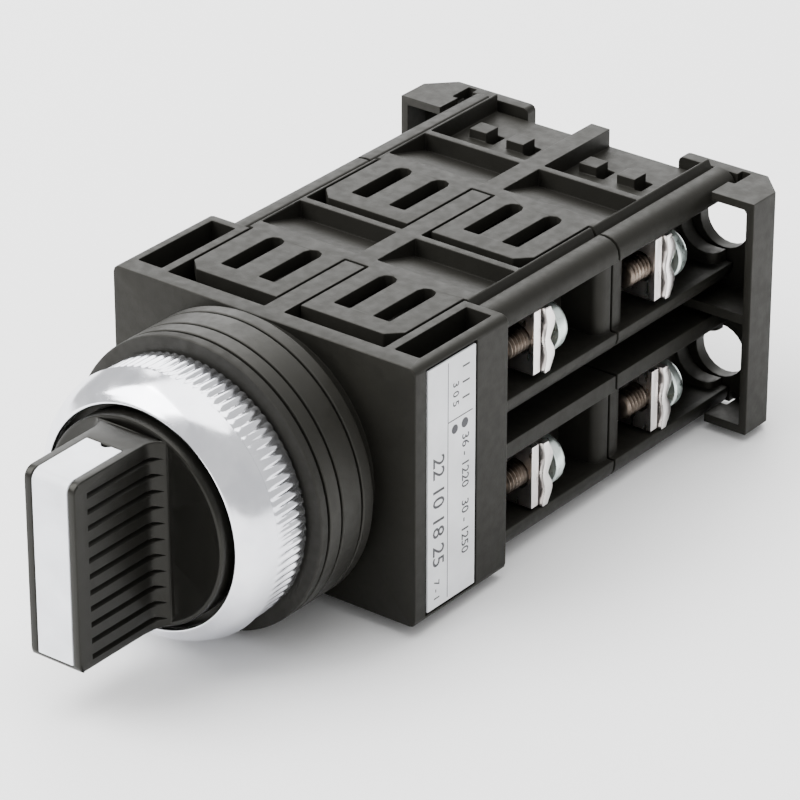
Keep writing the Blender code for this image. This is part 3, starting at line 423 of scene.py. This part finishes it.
def arc(centre, radius, start, end):
    """Points on an arc, with angles in degrees."""
    points = []
    for step in range(ROUND_STEPS + 1):
        angle = math.radians(start + (end - start) * step / ROUND_STEPS)
        points.append((centre[0] + radius * math.cos(angle), centre[1] + radius * math.sin(angle)))
    return points


def joined(name, pieces):
    """Several pieces as one, without merging their faces."""
    rest()
    for piece in pieces:
        piece.select_set(True)
    bpy.context.view_layer.objects.active = pieces[0]
    bpy.ops.object.join()
    pieces[0].name = name
    return pieces[0]


def coat(piece, material, slot, *nodes):
    """Gives a finished piece its material, and hides the CAD nodes that it stands for."""
    piece.data.materials.clear()
    piece.data.materials.append(material)
    if nodes:
        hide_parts(*nodes)


def dress(piece, body, material, slot, *nodes):
    """Coats a finished piece and lets it ride on its body."""
    coat(piece, material, slot, *nodes)
    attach(piece, body)
    return piece


def blank(name, colour, roughness, metallic=0.0):
    """A material with its plain values set, with its node tree and shader."""
    material = bpy.data.materials.new(name)
    material.use_nodes = True
    shader = material.node_tree.nodes["Principled BSDF"]
    shader.inputs["Base Color"].default_value = (*colour, 1)
    shader.inputs["Roughness"].default_value = roughness
    shader.inputs["Metallic"].default_value = metallic
    return material, material.node_tree, shader


def noise(tree, scale, detail, stretch=(1, 1, 1)):
    """A noise pattern on the object's own coordinates, per metre."""
    place = tree.nodes.new("ShaderNodeTexCoord")
    mapping = tree.nodes.new("ShaderNodeMapping")
    mapping.inputs["Scale"].default_value = stretch
    pattern = tree.nodes.new("ShaderNodeTexNoise")
    pattern.inputs["Scale"].default_value = scale
    pattern.inputs["Detail"].default_value = detail
    tree.links.new(place.outputs["Object"], mapping.inputs["Vector"])
    tree.links.new(mapping.outputs["Vector"], pattern.inputs["Vector"])
    return pattern.outputs["Fac"]


def spread(tree, value, low, high, start=0.35, end=0.65):
    """Maps the middle of a noise to a range."""
    ranged = tree.nodes.new("ShaderNodeMapRange")
    ranged.inputs["From Min"].default_value = start
    ranged.inputs["From Max"].default_value = end
    ranged.inputs["To Min"].default_value = low
    ranged.inputs["To Max"].default_value = high
    tree.links.new(value, ranged.inputs["Value"])
    return ranged.outputs["Result"]


def two_tone(tree, value, dark, light, start=0.35, end=0.65):
    """Maps the middle of a noise to a blend of two colours."""
    ramp = tree.nodes.new("ShaderNodeValToRGB")
    ramp.color_ramp.elements[0].position = start
    ramp.color_ramp.elements[1].position = end
    ramp.color_ramp.elements[0].color = (*dark, 1)
    ramp.color_ramp.elements[1].color = (*light, 1)
    tree.links.new(value, ramp.inputs["Fac"])
    return ramp.outputs["Color"]


def bump(tree, shader, value, distance, under=None):
    """Raises a pattern by a real height, over another bump if one is given."""
    raised = tree.nodes.new("ShaderNodeBump")
    raised.inputs["Distance"].default_value = distance
    tree.links.new(value, raised.inputs["Height"])
    if under:
        tree.links.new(under, raised.inputs["Normal"])
    tree.links.new(raised.outputs["Normal"], shader.inputs["Normal"])
    return raised.outputs["Normal"]


def tinted(colour, factor):
    """A colour made darker or lighter."""
    return tuple(channel * factor for channel in colour)


def moulded(name, colour, rough, grain, height, sheen=0.5, glint=(1, 1, 1)):
    """Moulded plastic: a fine spark-eroded grain, faint cloudiness and slightly uneven gloss."""
    material, tree, shader = blank(name, colour, sum(rough) / 2)
    shader.inputs["Specular IOR Level"].default_value = sheen
    shader.inputs["Specular Tint"].default_value = (*glint, 1)
    dark = tinted(colour, CLOUD_DARK)
    light = tinted(colour, CLOUD_LIGHT)
    clouds = two_tone(tree, noise(tree, CLOUD_SCALE, 4), dark, light)
    tree.links.new(clouds, shader.inputs["Base Color"])
    tree.links.new(spread(tree, noise(tree, GLOSS_SCALE, 5), *rough), shader.inputs["Roughness"])
    coarse = bump(tree, shader, noise(tree, grain * COARSE_SHARE, 2), height * COARSE_SHARE)
    bump(tree, shader, noise(tree, grain, 4), height, under=coarse)
    return material


def plated(name, dark, light, rough, scale, height, stretch=(1, 1, 1)):
    """Bare or plated metal with drifting tint and gloss."""
    material, tree, shader = blank(name, light, sum(rough) / 2, 1.0)
    drift = noise(tree, scale, 5, stretch)
    tree.links.new(two_tone(tree, drift, dark, light, DRIFT_START, DRIFT_END), shader.inputs["Base Color"])
    tree.links.new(spread(tree, noise(tree, scale * 3, 3, stretch), *rough), shader.inputs["Roughness"])
    bump(tree, shader, noise(tree, scale * 6, 3, stretch), height)
    return material


HOUSING = moulded("block_plastic", (0.0092, 0.0088, 0.0073), rough=(0.46, 0.56),
                  grain=5200, height=0.000010, sheen=0.20, glint=WARM)
RING_BLACK = moulded("ring_plastic_fine", (0.0125, 0.0120, 0.0103), rough=(0.42, 0.52),
                     grain=6000, height=0.000009, sheen=0.26, glint=WARM)
KNOB_BLACK = moulded("knob_plastic_fine", (0.0056, 0.0054, 0.0046), rough=(0.30, 0.38),
                     grain=7000, height=0.000006, sheen=0.22, glint=WARM)
RUBBER = moulded("gasket_rubber_fine", (0.0110, 0.0106, 0.0095), rough=(0.55, 0.7),
                 grain=4200, height=0.000012, sheen=0.25, glint=WARM)
WHITE = moulded("insert_white", (0.80, 0.82, 0.86), rough=(0.30, 0.42), grain=6000, height=0.000005)
FILM = moulded("label_paper", (0.72, 0.73, 0.75), rough=(0.42, 0.55), grain=5000, height=0.000004)
NYLON = moulded("nylon_natural", (0.60, 0.57, 0.50), rough=(0.40, 0.52), grain=5000, height=0.000008)
INK = moulded("printed_ink", (0.030, 0.030, 0.036), rough=(0.45, 0.6), grain=4000, height=0.000004)
CHROME = plated("chrome_bright", (0.78, 0.79, 0.84), (0.87, 0.88, 0.92), rough=(0.13, 0.20),
                scale=240, height=0.0000010)
ZINC = plated("zinc_passivated", (0.66, 0.76, 0.73), (0.80, 0.88, 0.85), rough=(0.26, 0.40),
              scale=500, height=0.000002)
# Dark brownish steel for the screw shanks: its darkness is painted shade of the terminal chambers
SHANK_STEEL_PAINTED_SHADE = plated("thread_steel_painted_shade", (0.13, 0.105, 0.085), (0.30, 0.25, 0.21), rough=(0.28, 0.40),
                    scale=420, height=0.000002)
NICKEL = plated("nickel_bright", (0.84, 0.80, 0.78), (0.90, 0.87, 0.85), rough=(0.26, 0.34),
                scale=400, height=0.0000008, stretch=(1, 1, 0.3))
COPPER = plated("copper_contact", (0.55, 0.30, 0.18), (0.80, 0.48, 0.32), rough=(0.25, 0.4),
                scale=700, height=0.000004)
STEEL = plated("spring_wire", (0.45, 0.45, 0.46), (0.68, 0.68, 0.70), rough=(0.2, 0.35),
               scale=900, height=0.000004)


def bezel_profile():
    """The bezel's section: a band for the knurl, a fine ridge, a polished cone and a rolled mouth."""
    profile = [(BEZEL_BORE, BEZEL_REAR), (BEZEL_BAND - BEZEL_CHAMFER, BEZEL_REAR)]
    profile += [(BEZEL_BAND, BEZEL_REAR - run) for run in BAND_REAR_LOOPS]
    profile += [(BEZEL_BAND, KNURL_FRONT + run) for run in BAND_FRONT_LOOPS]
    profile += [(BEZEL_BAND - NECK_DEPTH, KNURL_FRONT)]
    profile += [(BEZEL_RIDGE - drop, KNURL_FRONT - run) for drop, run in RIDGE_POINTS]
    profile += CONE_POINTS + LIP_POINTS + MOUTH_POINTS
    profile += [(BEZEL_BORE, BEZEL_REAR)]
    return profile


def turned_bezel():
    """The chrome ring, with straight knurls pressed into its band that run out before the ridge."""
    tooth_columns = len(KNURL_TOOTH)
    columns = KNURL_COUNT * tooth_columns
    ring = lathed("bezel_knurled", bezel_profile(), columns)
    for vertex in ring.data.vertices:
        offset = vertex.co - AXIS
        radius = math.hypot(offset.x, offset.z)
        column = round(math.atan2(offset.z, offset.x) / math.tau * columns) % tooth_columns
        reach = min(1, max(0, (offset.y - KNURL_FRONT) / KNURL_RUNOUT))
        if reach and radius > BEZEL_BAND - KNURL_SKIN:
            factor = 1 - reach * KNURL_TOOTH[column] * KNURL_DEPTH / radius
            vertex.co = AXIS + Vector((offset.x * factor, offset.y, offset.z * factor))
    smooth(ring, 50)
    return dress(ring, "switch_body", CHROME, "bezel_chrome", "bezel_ring")


def ring_of(node, name, material, slot, edge):
    """A ring over the sleeve with rounded rims."""
    low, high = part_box(node)
    radius = (high.x - low.x) / 2
    front = low.y - AXIS.y
    rear = high.y - AXIS.y
    profile = [(BEZEL_BORE, front), (radius, front), (radius, rear), (BEZEL_BORE, rear)]
    profile.append(profile[0])
    ring = lathed(name, profile, RING_COLUMNS)
    soften(ring, edge, segments=3, angle=30)
    return dress(ring, "switch_body", material, slot, node)


def knob_skirt():
    """The flat disc with its fine raised rim, and the hollow hub behind it."""
    profile = [(DISC_CORE, DISC_FACE), (DISC_MIDDLE, DISC_FACE)]
    profile += [(radius, DISC_FACE - height) for radius, height in RIM_POINTS]
    profile += [(DISC_RADIUS, DISC_FACE + DISC_ROUND), (DISC_RADIUS, DISC_REAR)]
    profile += [(SKIRT_OUTSIDE, DISC_REAR), (SKIRT_OUTSIDE, SKIRT_REAR)]
    profile += [(SKIRT_INSIDE, SKIRT_REAR), (SKIRT_INSIDE, SKIRT_FLOOR)]
    profile += [(HUB_OUTSIDE, SKIRT_FLOOR), (HUB_OUTSIDE, HUB_REAR)]
    profile += [(HUB_INSIDE, HUB_REAR), (HUB_INSIDE, HUB_FLOOR), (DISC_CORE, HUB_FLOOR)]
    return lathed("knob_disc", profile, KNOB_COLUMNS, capped=True)


def lever_corner(inset):
    """The round corner between the lever's front and its top, as (y, z) points moved in by inset."""
    return arc((LEVER_FRONT + LEVER_ROUND, LEVER_TOP - LEVER_ROUND), LEVER_ROUND - inset, 180, 91)


def flank_path():
    """The right flank from above, as places and normals: straight, then a concave sweep into the disc."""
    path = [((LEVER_HALF, GROOVE_FRONT), (1.0, 0.0)), ((LEVER_HALF, LEVER_FLARE_START), (1.0, 0.0))]
    end = DISC_FACE + DISC_OVERLAP
    for turn in range(0, 91, FLARE_TURN):
        angle = math.radians(turn)
        x = LEVER_HALF + LEVER_FLARE * (1 - math.cos(angle))
        y = end - LEVER_FLARE * (1 - math.sin(angle))
        path.append(((x, y), (math.cos(angle), -math.sin(angle))))
    return path


def groove_rings(side, z):
    """Triangles across one groove, whose inner corner rises out of the flank on the way to the disc."""
    path = flank_path()[:GROOVE_PLACES]
    rings = []
    for step, (place, normal) in enumerate(path):
        share = min(1, (len(path) - 1 - step) / GROOVE_RUNOUT)
        depth = GROOVE_DEPTH * share - GROOVE_CLEAR * GROOVE_LIFT * (1 - share)
        half = GROOVE_HALF * (depth + GROOVE_LIFT) / GROOVE_DEPTH
        slant = 0.0 if step else GROOVE_SLANT
        outer = (side * (place[0] + GROOVE_LIFT * normal[0]), place[1] + GROOVE_LIFT * normal[1])
        inner = (side * (place[0] - depth * normal[0]), place[1] - depth * normal[1] + slant)
        rings.append((at(*outer, z + half), at(*outer, z - half), at(*inner, z)))
    return rings


def finger_groove(side, z):
    """A V-shaped cutter drawn out along one flank, ring by ring."""
    rings = groove_rings(side, z)
    rest()
    bpy.ops.mesh.primitive_circle_add(vertices=3, radius=BLANK_RADIUS, fill_type="NGON")
    groove = settled("groove")
    for vertex, place in zip(groove.data.vertices, rings[0]):
        vertex.co = place
    edit(groove)
    for back, ring in zip(rings, rings[1:]):
        bpy.ops.mesh.extrude_region_move(TRANSFORM_OT_translate={"value": (0, 0, 0)})
        bpy.ops.object.mode_set(mode="OBJECT")
        for vertex in groove.data.vertices:
            if vertex.select:
                corner = min(range(3), key=lambda index: (vertex.co - back[index]).length)
                vertex.co = ring[corner]
        bpy.ops.object.mode_set(mode="EDIT")
    bpy.ops.mesh.select_all(action="SELECT")
    bpy.ops.mesh.normals_make_consistent(inside=False)
    rest()
    return groove


def lever_blade():
    """The lever as seen from above: straight flanks that flare out towards the disc."""
    right = [(LEVER_HALF, LEVER_FRONT)] + [place for place, normal in flank_path()[1:]]
    right.append((LEVER_HALF + LEVER_FLARE, LEVER_FOOT))
    outline = right + [(-x, y) for x, y in reversed(right)]
    return extruded("knob_lever", outline, "Z", -BLADE_HALF_HEIGHT, BLADE_HALF_HEIGHT)


def lever_view():
    """The lever as seen from the side: round front corners and a top that falls a little at the disc."""
    view = [(LEVER_REAR, -LEVER_BOTTOM - LEVER_BOTTOM_FALL), (LEVER_FRONT + LEVER_ROUND, -LEVER_BOTTOM)]
    view += arc((LEVER_FRONT + LEVER_ROUND, -LEVER_BOTTOM + LEVER_ROUND), LEVER_ROUND, 262, 180)
    view += lever_corner(0)
    view += [(y, LEVER_TOP_REAR - drop) for y, drop in LEVER_HEEL]
    return extruded("lever_view", view, "X", -BLADE_CUTTER_HALF, BLADE_CUTTER_HALF)


def lever_limit():
    """The turned shape that keeps the lever's ends within the disc's rim."""
    profile = [(LIMIT_CORE, LIMIT_FRONT), *LIMIT_POINTS, (LIMIT_CORE, LIMIT_REAR)]
    return lathed("lever_limit", profile, KNOB_COLUMNS, capped=True)


def insert_seat():
    """The seat of the white strip, larger by a small gap, open at the lever's front and top."""
    half = INSERT_HALF + INSERT_GAP
    bottom = -INSERT_BOTTOM - INSERT_GAP
    front = LEVER_FRONT - SEAT_PAST
    rear = INSERT_REAR + INSERT_GAP
    seat = [(front, bottom), (front, SEAT_TOP), (rear, SEAT_TOP), (rear, LEVER_TOP - INSERT_THICKNESS)]
    seat += list(reversed(lever_corner(INSERT_THICKNESS)))
    seat += [(LEVER_FRONT + INSERT_THICKNESS, bottom)]
    return extruded("seat", seat, "X", -half, half)


def knob_lever():
    """The lever: a flared blade with rounded edges, a seat for the strip and grooves down both flanks."""
    lever = lever_blade()
    carve(lever, lever_view(), "INTERSECT")
    carve(lever, lever_limit(), "INTERSECT")
    carve(lever, insert_seat())
    rounded(lever, LEVER_EDGE, segments=3, angle=38)
    heights = [GROOVE_TOP - groove * GROOVE_PITCH for groove in range(GROOVE_COUNT)]
    grooves = [finger_groove(side, height) for side in SIDES.values() for height in heights]
    carve(lever, joined("grooves", grooves))
    edit(lever)
    bpy.ops.mesh.dissolve_degenerate(threshold=GROOVE_SLIVER)
    rest()
    return lever


def whole_knob():
    """The lever and its disc as one moulding."""
    knob = knob_lever()
    carve(knob, knob_skirt(), "UNION")
    smooth(knob, 35)
    return dress(knob, "knob", KNOB_BLACK, "knob_plastic", "knob")


def knob_insert():
    """The white strip over the lever's front and top, with a round notch at its inner end."""
    outer = [(LEVER_FRONT, -INSERT_BOTTOM)] + lever_corner(0) + [(INSERT_REAR, LEVER_TOP + INSERT_RISE)]
    inner = [(LEVER_FRONT + INSERT_THICKNESS, -INSERT_BOTTOM)] + lever_corner(INSERT_THICKNESS)
    inner += [(INSERT_REAR, LEVER_TOP - INSERT_THICKNESS + INSERT_RISE)]
    strip = extruded("knob_strip", outer + list(reversed(inner)), "X", -INSERT_HALF, INSERT_HALF)
    rest()
    bpy.ops.mesh.primitive_cylinder_add(vertices=HOLE_COLUMNS, radius=NOTCH_RADIUS, depth=NOTCH_LENGTH,
                                        location=at(NOTCH_X, INSERT_REAR + NOTCH_INSET, LEVER_TOP))
    carve(strip, settled("notch"))
    soften(strip, INSERT_EDGE, angle=40)
    return dress(strip, "knob", WHITE, "insert_plastic", "knob_insert")


def softened(node, name, width, material, slot):
    """A fixed piece with the shape of its CAD node and rounded edges."""
    piece = copy_of(node, name)
    soften(piece, width, angle=30)
    return dress(piece, "switch_body", material, slot, node)


def mouldings():
    """The base block, the two contact blocks and the covers behind them."""
    softened("base_housing", "base_moulding", BASE_EDGE, HOUSING, "housing_plastic")
    for layer in LAYERS:
        name = f"block_moulding_{layer}"
        softened(f"contact_block_{layer}", name, BLOCK_EDGE, HOUSING, "housing_plastic")
    for side in SIDES:
        name = f"cover_moulding_{side}"
        softened(f"terminal_cover_{side}", name, COVER_EDGE, HOUSING, "housing_plastic")


def contact_plates():
    """The bent plates that the screws pass through."""
    for layer, side, level in TERMINALS:
        place = f"{layer}_{side}_{level}"
        softened(f"contact_plate_{place}", f"stamped_plate_{place}", PLATE_EDGE, NICKEL, "nickel_plate")


def shank_profile():
    """A thread of flat-topped ridges between the shank's tip and its neck under the head."""
    profile = [(SHANK_TIP_RADIUS, SHANK_TIP), (SHANK_RADIUS - SHANK_NECK, SHANK_TIP + SHANK_TIP_LENGTH)]
    for turn in range(int((HEAD_SEAT - SHANK_TIP - THREAD_ENDS) / THREAD_PITCH)):
        y = SHANK_TIP + THREAD_START + turn * THREAD_PITCH
        profile += [(SHANK_RADIUS - THREAD_DEPTH, y), (SHANK_RADIUS, y + THREAD_PITCH * THREAD_FLANK),
                    (SHANK_RADIUS, y + THREAD_PITCH * THREAD_CREST)]
    return profile + [(SHANK_RADIUS - SHANK_NECK, HEAD_SEAT)]


def head_profile():
    """A pan head: a short straight side under a dome."""
    profile = [(HEAD_RADIUS - HEAD_CHAMFER, HEAD_SEAT), (HEAD_RADIUS, HEAD_SEAT + HEAD_CHAMFER),
               (HEAD_RADIUS, HEAD_SEAT + HEAD_SIDE)]
    for step in range(1, HEAD_STEPS + 1):
        turn = math.radians(HEAD_ARC) * step / HEAD_STEPS
        profile.append((HEAD_RADIUS * math.cos(turn) ** HEAD_FULLNESS,
                        HEAD_SEAT + HEAD_SIDE + (HEAD_HEIGHT - HEAD_SIDE) * math.sin(turn)))
    return profile


def screw_model():
    """A screw with a cross recess, centred on the knob's axis with y from its block's front."""
    screw = lathed("terminal_screw_model", shank_profile() + head_profile(), SCREW_COLUMNS, capped=True)
    top = HEAD_SEAT + HEAD_HEIGHT
    long, short = RECESS_HALF_LENGTH, RECESS_HALF_WIDTH
    for half_x, half_z in ((long, short), (short, long)):
        recess = slab("recess", (-half_x, top - RECESS_DEPTH, -half_z), (half_x, top + RECESS_PAST, half_z))
        for vertex in recess.data.vertices:
            if vertex.co.y < AXIS.y + top:
                vertex.co.x = AXIS.x + (vertex.co.x - AXIS.x) * RECESS_TAPER
                vertex.co.z = AXIS.z + (vertex.co.z - AXIS.z) * RECESS_TAPER
        carve(screw, recess)
    return smooth(screw, 35)


def clamp_model():
    """A thick saddle washer: two rounded arches over the wires, with its hole for the screw."""
    under = []
    over = []
    for step in range(CLAMP_STEPS + 1):
        share = step / CLAMP_STEPS
        z = -CLAMP_HALF_HEIGHT + 2 * CLAMP_HALF_HEIGHT * share
        lift = math.sin(math.tau * share) ** 2
        under.append((PLATE_FACE + CLAMP_FOOT + CLAMP_HOLLOW * lift, z))
        over.append((PLATE_FACE + CLAMP_THICKNESS + CLAMP_ARCH * lift ** CLAMP_FULLNESS, z))
    outline = under + list(reversed(over))
    washer = extruded("clamp_model", outline, "X", -CLAMP_HALF_WIDTH, CLAMP_HALF_WIDTH)
    carve(washer, peg("hole", SHANK_RADIUS + CLAMP_HOLE_GAP, CLAMP_HOLE_START, CLAMP_HOLE_END))
    return soften(washer, CLAMP_EDGE, angle=50)


def copies_of(model, kind, material, slot, turn=0.0):
    """One copy of a model at each terminal, each turned a little further, and the model itself removed."""
    made = []
    for layer, side, level in TERMINALS:
        name = f"{kind}_{layer}_{side}_{level}"
        piece = bpy.data.objects.new(f"fine_{name}", model.data.copy())
        bpy.context.scene.collection.objects.link(piece)
        edit(piece)
        if turn:
            amount = turn * (len(made) * SCREW_TURN_STEP + SCREW_TURN_FIRST)
            bpy.ops.transform.rotate(value=amount, orient_axis="Y", center_override=AXIS)
        place = (SIDES[side] * TERMINAL_X, LAYERS[layer], LEVELS[level] * TERMINAL_Z)
        bpy.ops.transform.translate(value=place)
        rest()
        made.append(dress(piece, "switch_body", material, slot, name))
    bpy.data.objects.remove(model)
    return made


def shade_painted_shank(screw, layer):
    """Gives a screw's shank a dark brownish steel colour behind the plated head: steel, darkened as painted shade
    for the terminal chamber that the shank sits in.
    """
    screw.data.materials.append(SHANK_STEEL_PAINTED_SHADE)
    limit = AXIS.y + LAYERS[layer] + HEAD_SEAT - THREAD_MARGIN
    for face in screw.data.polygons:
        if face.center.y < limit:
            face.material_index = 1


def terminal_screws():
    """The eight screws, each with its recess at another angle."""
    for screw in copies_of(screw_model(), "terminal_screw", ZINC, "plated_steel", SCREW_TURN):
        shade_painted_shank(screw, "front" if "front" in screw.name else "rear")


def printed_text(text, height, corner):
    """One line of plain figures that reads downwards."""
    rest()
    bpy.ops.object.text_add(location=corner, rotation=(0, math.pi / 2, 0))
    words = bpy.context.active_object
    words.data.body = text
    words.data.size = height
    words.data.extrude = PRINT_HALF
    words.data.offset = PRINT_WEIGHT
    words.data.resolution_u = 3
    bpy.ops.object.convert(target="MESH")
    return settled("print")


def printed_rule(width, height, middle):
    """One thin line."""
    rest()
    bpy.ops.mesh.primitive_cube_add(size=1, location=middle, scale=(PRINT_THICKNESS, width, height))
    return settled("rule")


def printed_dot(radius, middle):
    """One round dot."""
    rest()
    bpy.ops.mesh.primitive_cylinder_add(vertices=DOT_COLUMNS, radius=radius, depth=PRINT_THICKNESS,
                                        rotation=(0, math.pi / 2, 0), location=middle)
    return settled("dot")


def label_with_print():
    """The label: a thin film with printed rules, dots and plain numbers that read downwards."""
    low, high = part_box("label")
    film = copy_of("label", "label_film_piece")
    dress(film, "switch_body", FILM, "label_film", "label")
    face = high.x
    front = low.y
    top = high.z
    prints = []
    for text, height, from_front, from_top in LABEL_TEXTS:
        prints.append(printed_text(text, height, (face - PRINT_SUNK, front + from_front, top - from_top)))
    for from_front, from_top, width, height in LABEL_RULES:
        middle = Vector((face, front + from_front + width / 2, top - from_top - height / 2))
        prints.append(printed_rule(width, height, middle))
    for from_front, from_top, radius in LABEL_DOTS:
        prints.append(printed_dot(radius, (face, front + from_front, top - from_top)))
    dress(joined("label_print", prints), "switch_body", INK, "label_film")


def helix(low, high):
    """The points of a spring's wire between the ends of its box."""
    middle = (low + high) / 2
    radius = (high.x - low.x) / 2 - SPRING_WIRE
    steps = SPRING_TURN_STEPS * SPRING_TURNS
    points = []
    for step in range(steps + 1):
        share = step / steps
        angle = math.tau * SPRING_TURNS * share
        y = low.y + SPRING_WIRE + (high.y - low.y - 2 * SPRING_WIRE) * share
        points.append((middle.x + radius * math.cos(angle), y, middle.z + radius * math.sin(angle)))
    return points


def coil(name, node):
    """A spring at the place of its CAD node."""
    low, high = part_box(node)
    curve = bpy.data.curves.new(name, "CURVE")
    curve.dimensions = "3D"
    curve.bevel_depth = SPRING_WIRE
    curve.bevel_resolution = 2
    curve.use_fill_caps = True
    places = helix(low, high)
    spline = curve.splines.new("POLY")
    spline.points.add(len(places) - 1)
    for point, place in zip(spline.points, places):
        point.co = (*place, 1)
    piece = bpy.data.objects.new(name, curve)
    bpy.context.scene.collection.objects.link(piece)
    take(piece)
    bpy.ops.object.convert(target="MESH")
    piece = bpy.context.active_object
    edit(piece)
    bpy.ops.mesh.remove_doubles(threshold=MERGE)
    rest()
    smooth(piece)
    coat(piece, STEEL, "spring_steel", node)
    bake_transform(piece)


def return_springs():
    """One spring behind each plunger."""
    for layer, side in ((a, b) for a in LAYERS for b in SIDES):
        coil(f"coil_{layer}_{side}", f"return_spring_{layer}_{side}")


def paint_nodes():
    """Finishes for the CAD nodes that stay as they are."""
    coats = {"spring_steel": STEEL, "plunger_nylon": NYLON, "contact_copper": COPPER,
             "gasket_rubber": RUBBER, "ring_plastic": RING_BLACK, "housing_plastic": HOUSING,
             "nickel_plate": NICKEL, "plated_steel": ZINC, "bezel_chrome": CHROME,
             "knob_plastic": KNOB_BLACK, "insert_plastic": WHITE, "label_film": FILM}
    for part in frame["record"]["subparts"]:
        node = frame["nodes"][part["node"]]
        for slot in node.material_slots:
            slot.material = coats[part["material_slot"]]


def facing(direction):
    """The turn that points a lamp or the camera along a direction."""
    return direction.to_track_quat("-Z", "Y").to_euler()


def pale_floor():
    """A floor that carries the rings and the blocks' rear edge."""
    rest()
    lean = math.atan2(FLOOR_RISE, FLOOR_RUN)
    bpy.ops.mesh.primitive_plane_add(size=FLOOR_SIZE, location=FLOOR_PLACE, rotation=(lean, 0, 0))
    floor = bpy.context.active_object
    floor.name = "floor"
    floor.data.materials.append(blank("pale_floor", FLOOR_TONE, FLOOR_ROUGHNESS)[0])


def studio_light():
    """A white surround and three soft lamps."""
    world = bpy.data.worlds.new("studio")
    bpy.context.scene.world = world
    world.use_nodes = True
    background = world.node_tree.nodes["Background"]
    background.inputs["Color"].default_value = (1, 1, 1, 1)
    background.inputs["Strength"].default_value = SKY_STRENGTH
    for name, place, size, power in LAMPS:
        bpy.ops.object.light_add(type="AREA", location=place)
        lamp = bpy.context.active_object
        lamp.name = name
        lamp.data.size = size
        lamp.data.energy = power
        lamp.rotation_euler = facing(LAMP_TARGET - Vector(place))


def photo_camera():
    """A long lens at the photo's angle."""
    rest()
    bpy.ops.object.camera_add(location=CAMERA_PLACE)
    camera = bpy.context.active_object
    camera.rotation_euler = facing(CAMERA_FORWARD)
    camera.data.sensor_width = CAMERA_SENSOR
    camera.data.lens = CAMERA_LENS
    camera.data.clip_start = CAMERA_NEAR
    camera.data.clip_end = CAMERA_FAR
    bpy.context.scene.camera = camera


paint_nodes()
turned_bezel()
ring_of("panel_gasket", "gasket_round", RUBBER, "gasket_rubber", GASKET_EDGE)
ring_of("washer_ring", "washer_round", RING_BLACK, "ring_plastic", RING_EDGE)
ring_of("spacer_ring", "spacer_round", RING_BLACK, "ring_plastic", RING_EDGE)
ring_of("lock_ring", "lock_round", RING_BLACK, "ring_plastic", LOCK_RING_EDGE)
whole_knob()
knob_insert()
mouldings()
contact_plates()
terminal_screws()
copies_of(clamp_model(), "clamp_plate", NICKEL, "nickel_plate")
return_springs()
label_with_print()
pale_floor()
studio_light()
photo_camera()
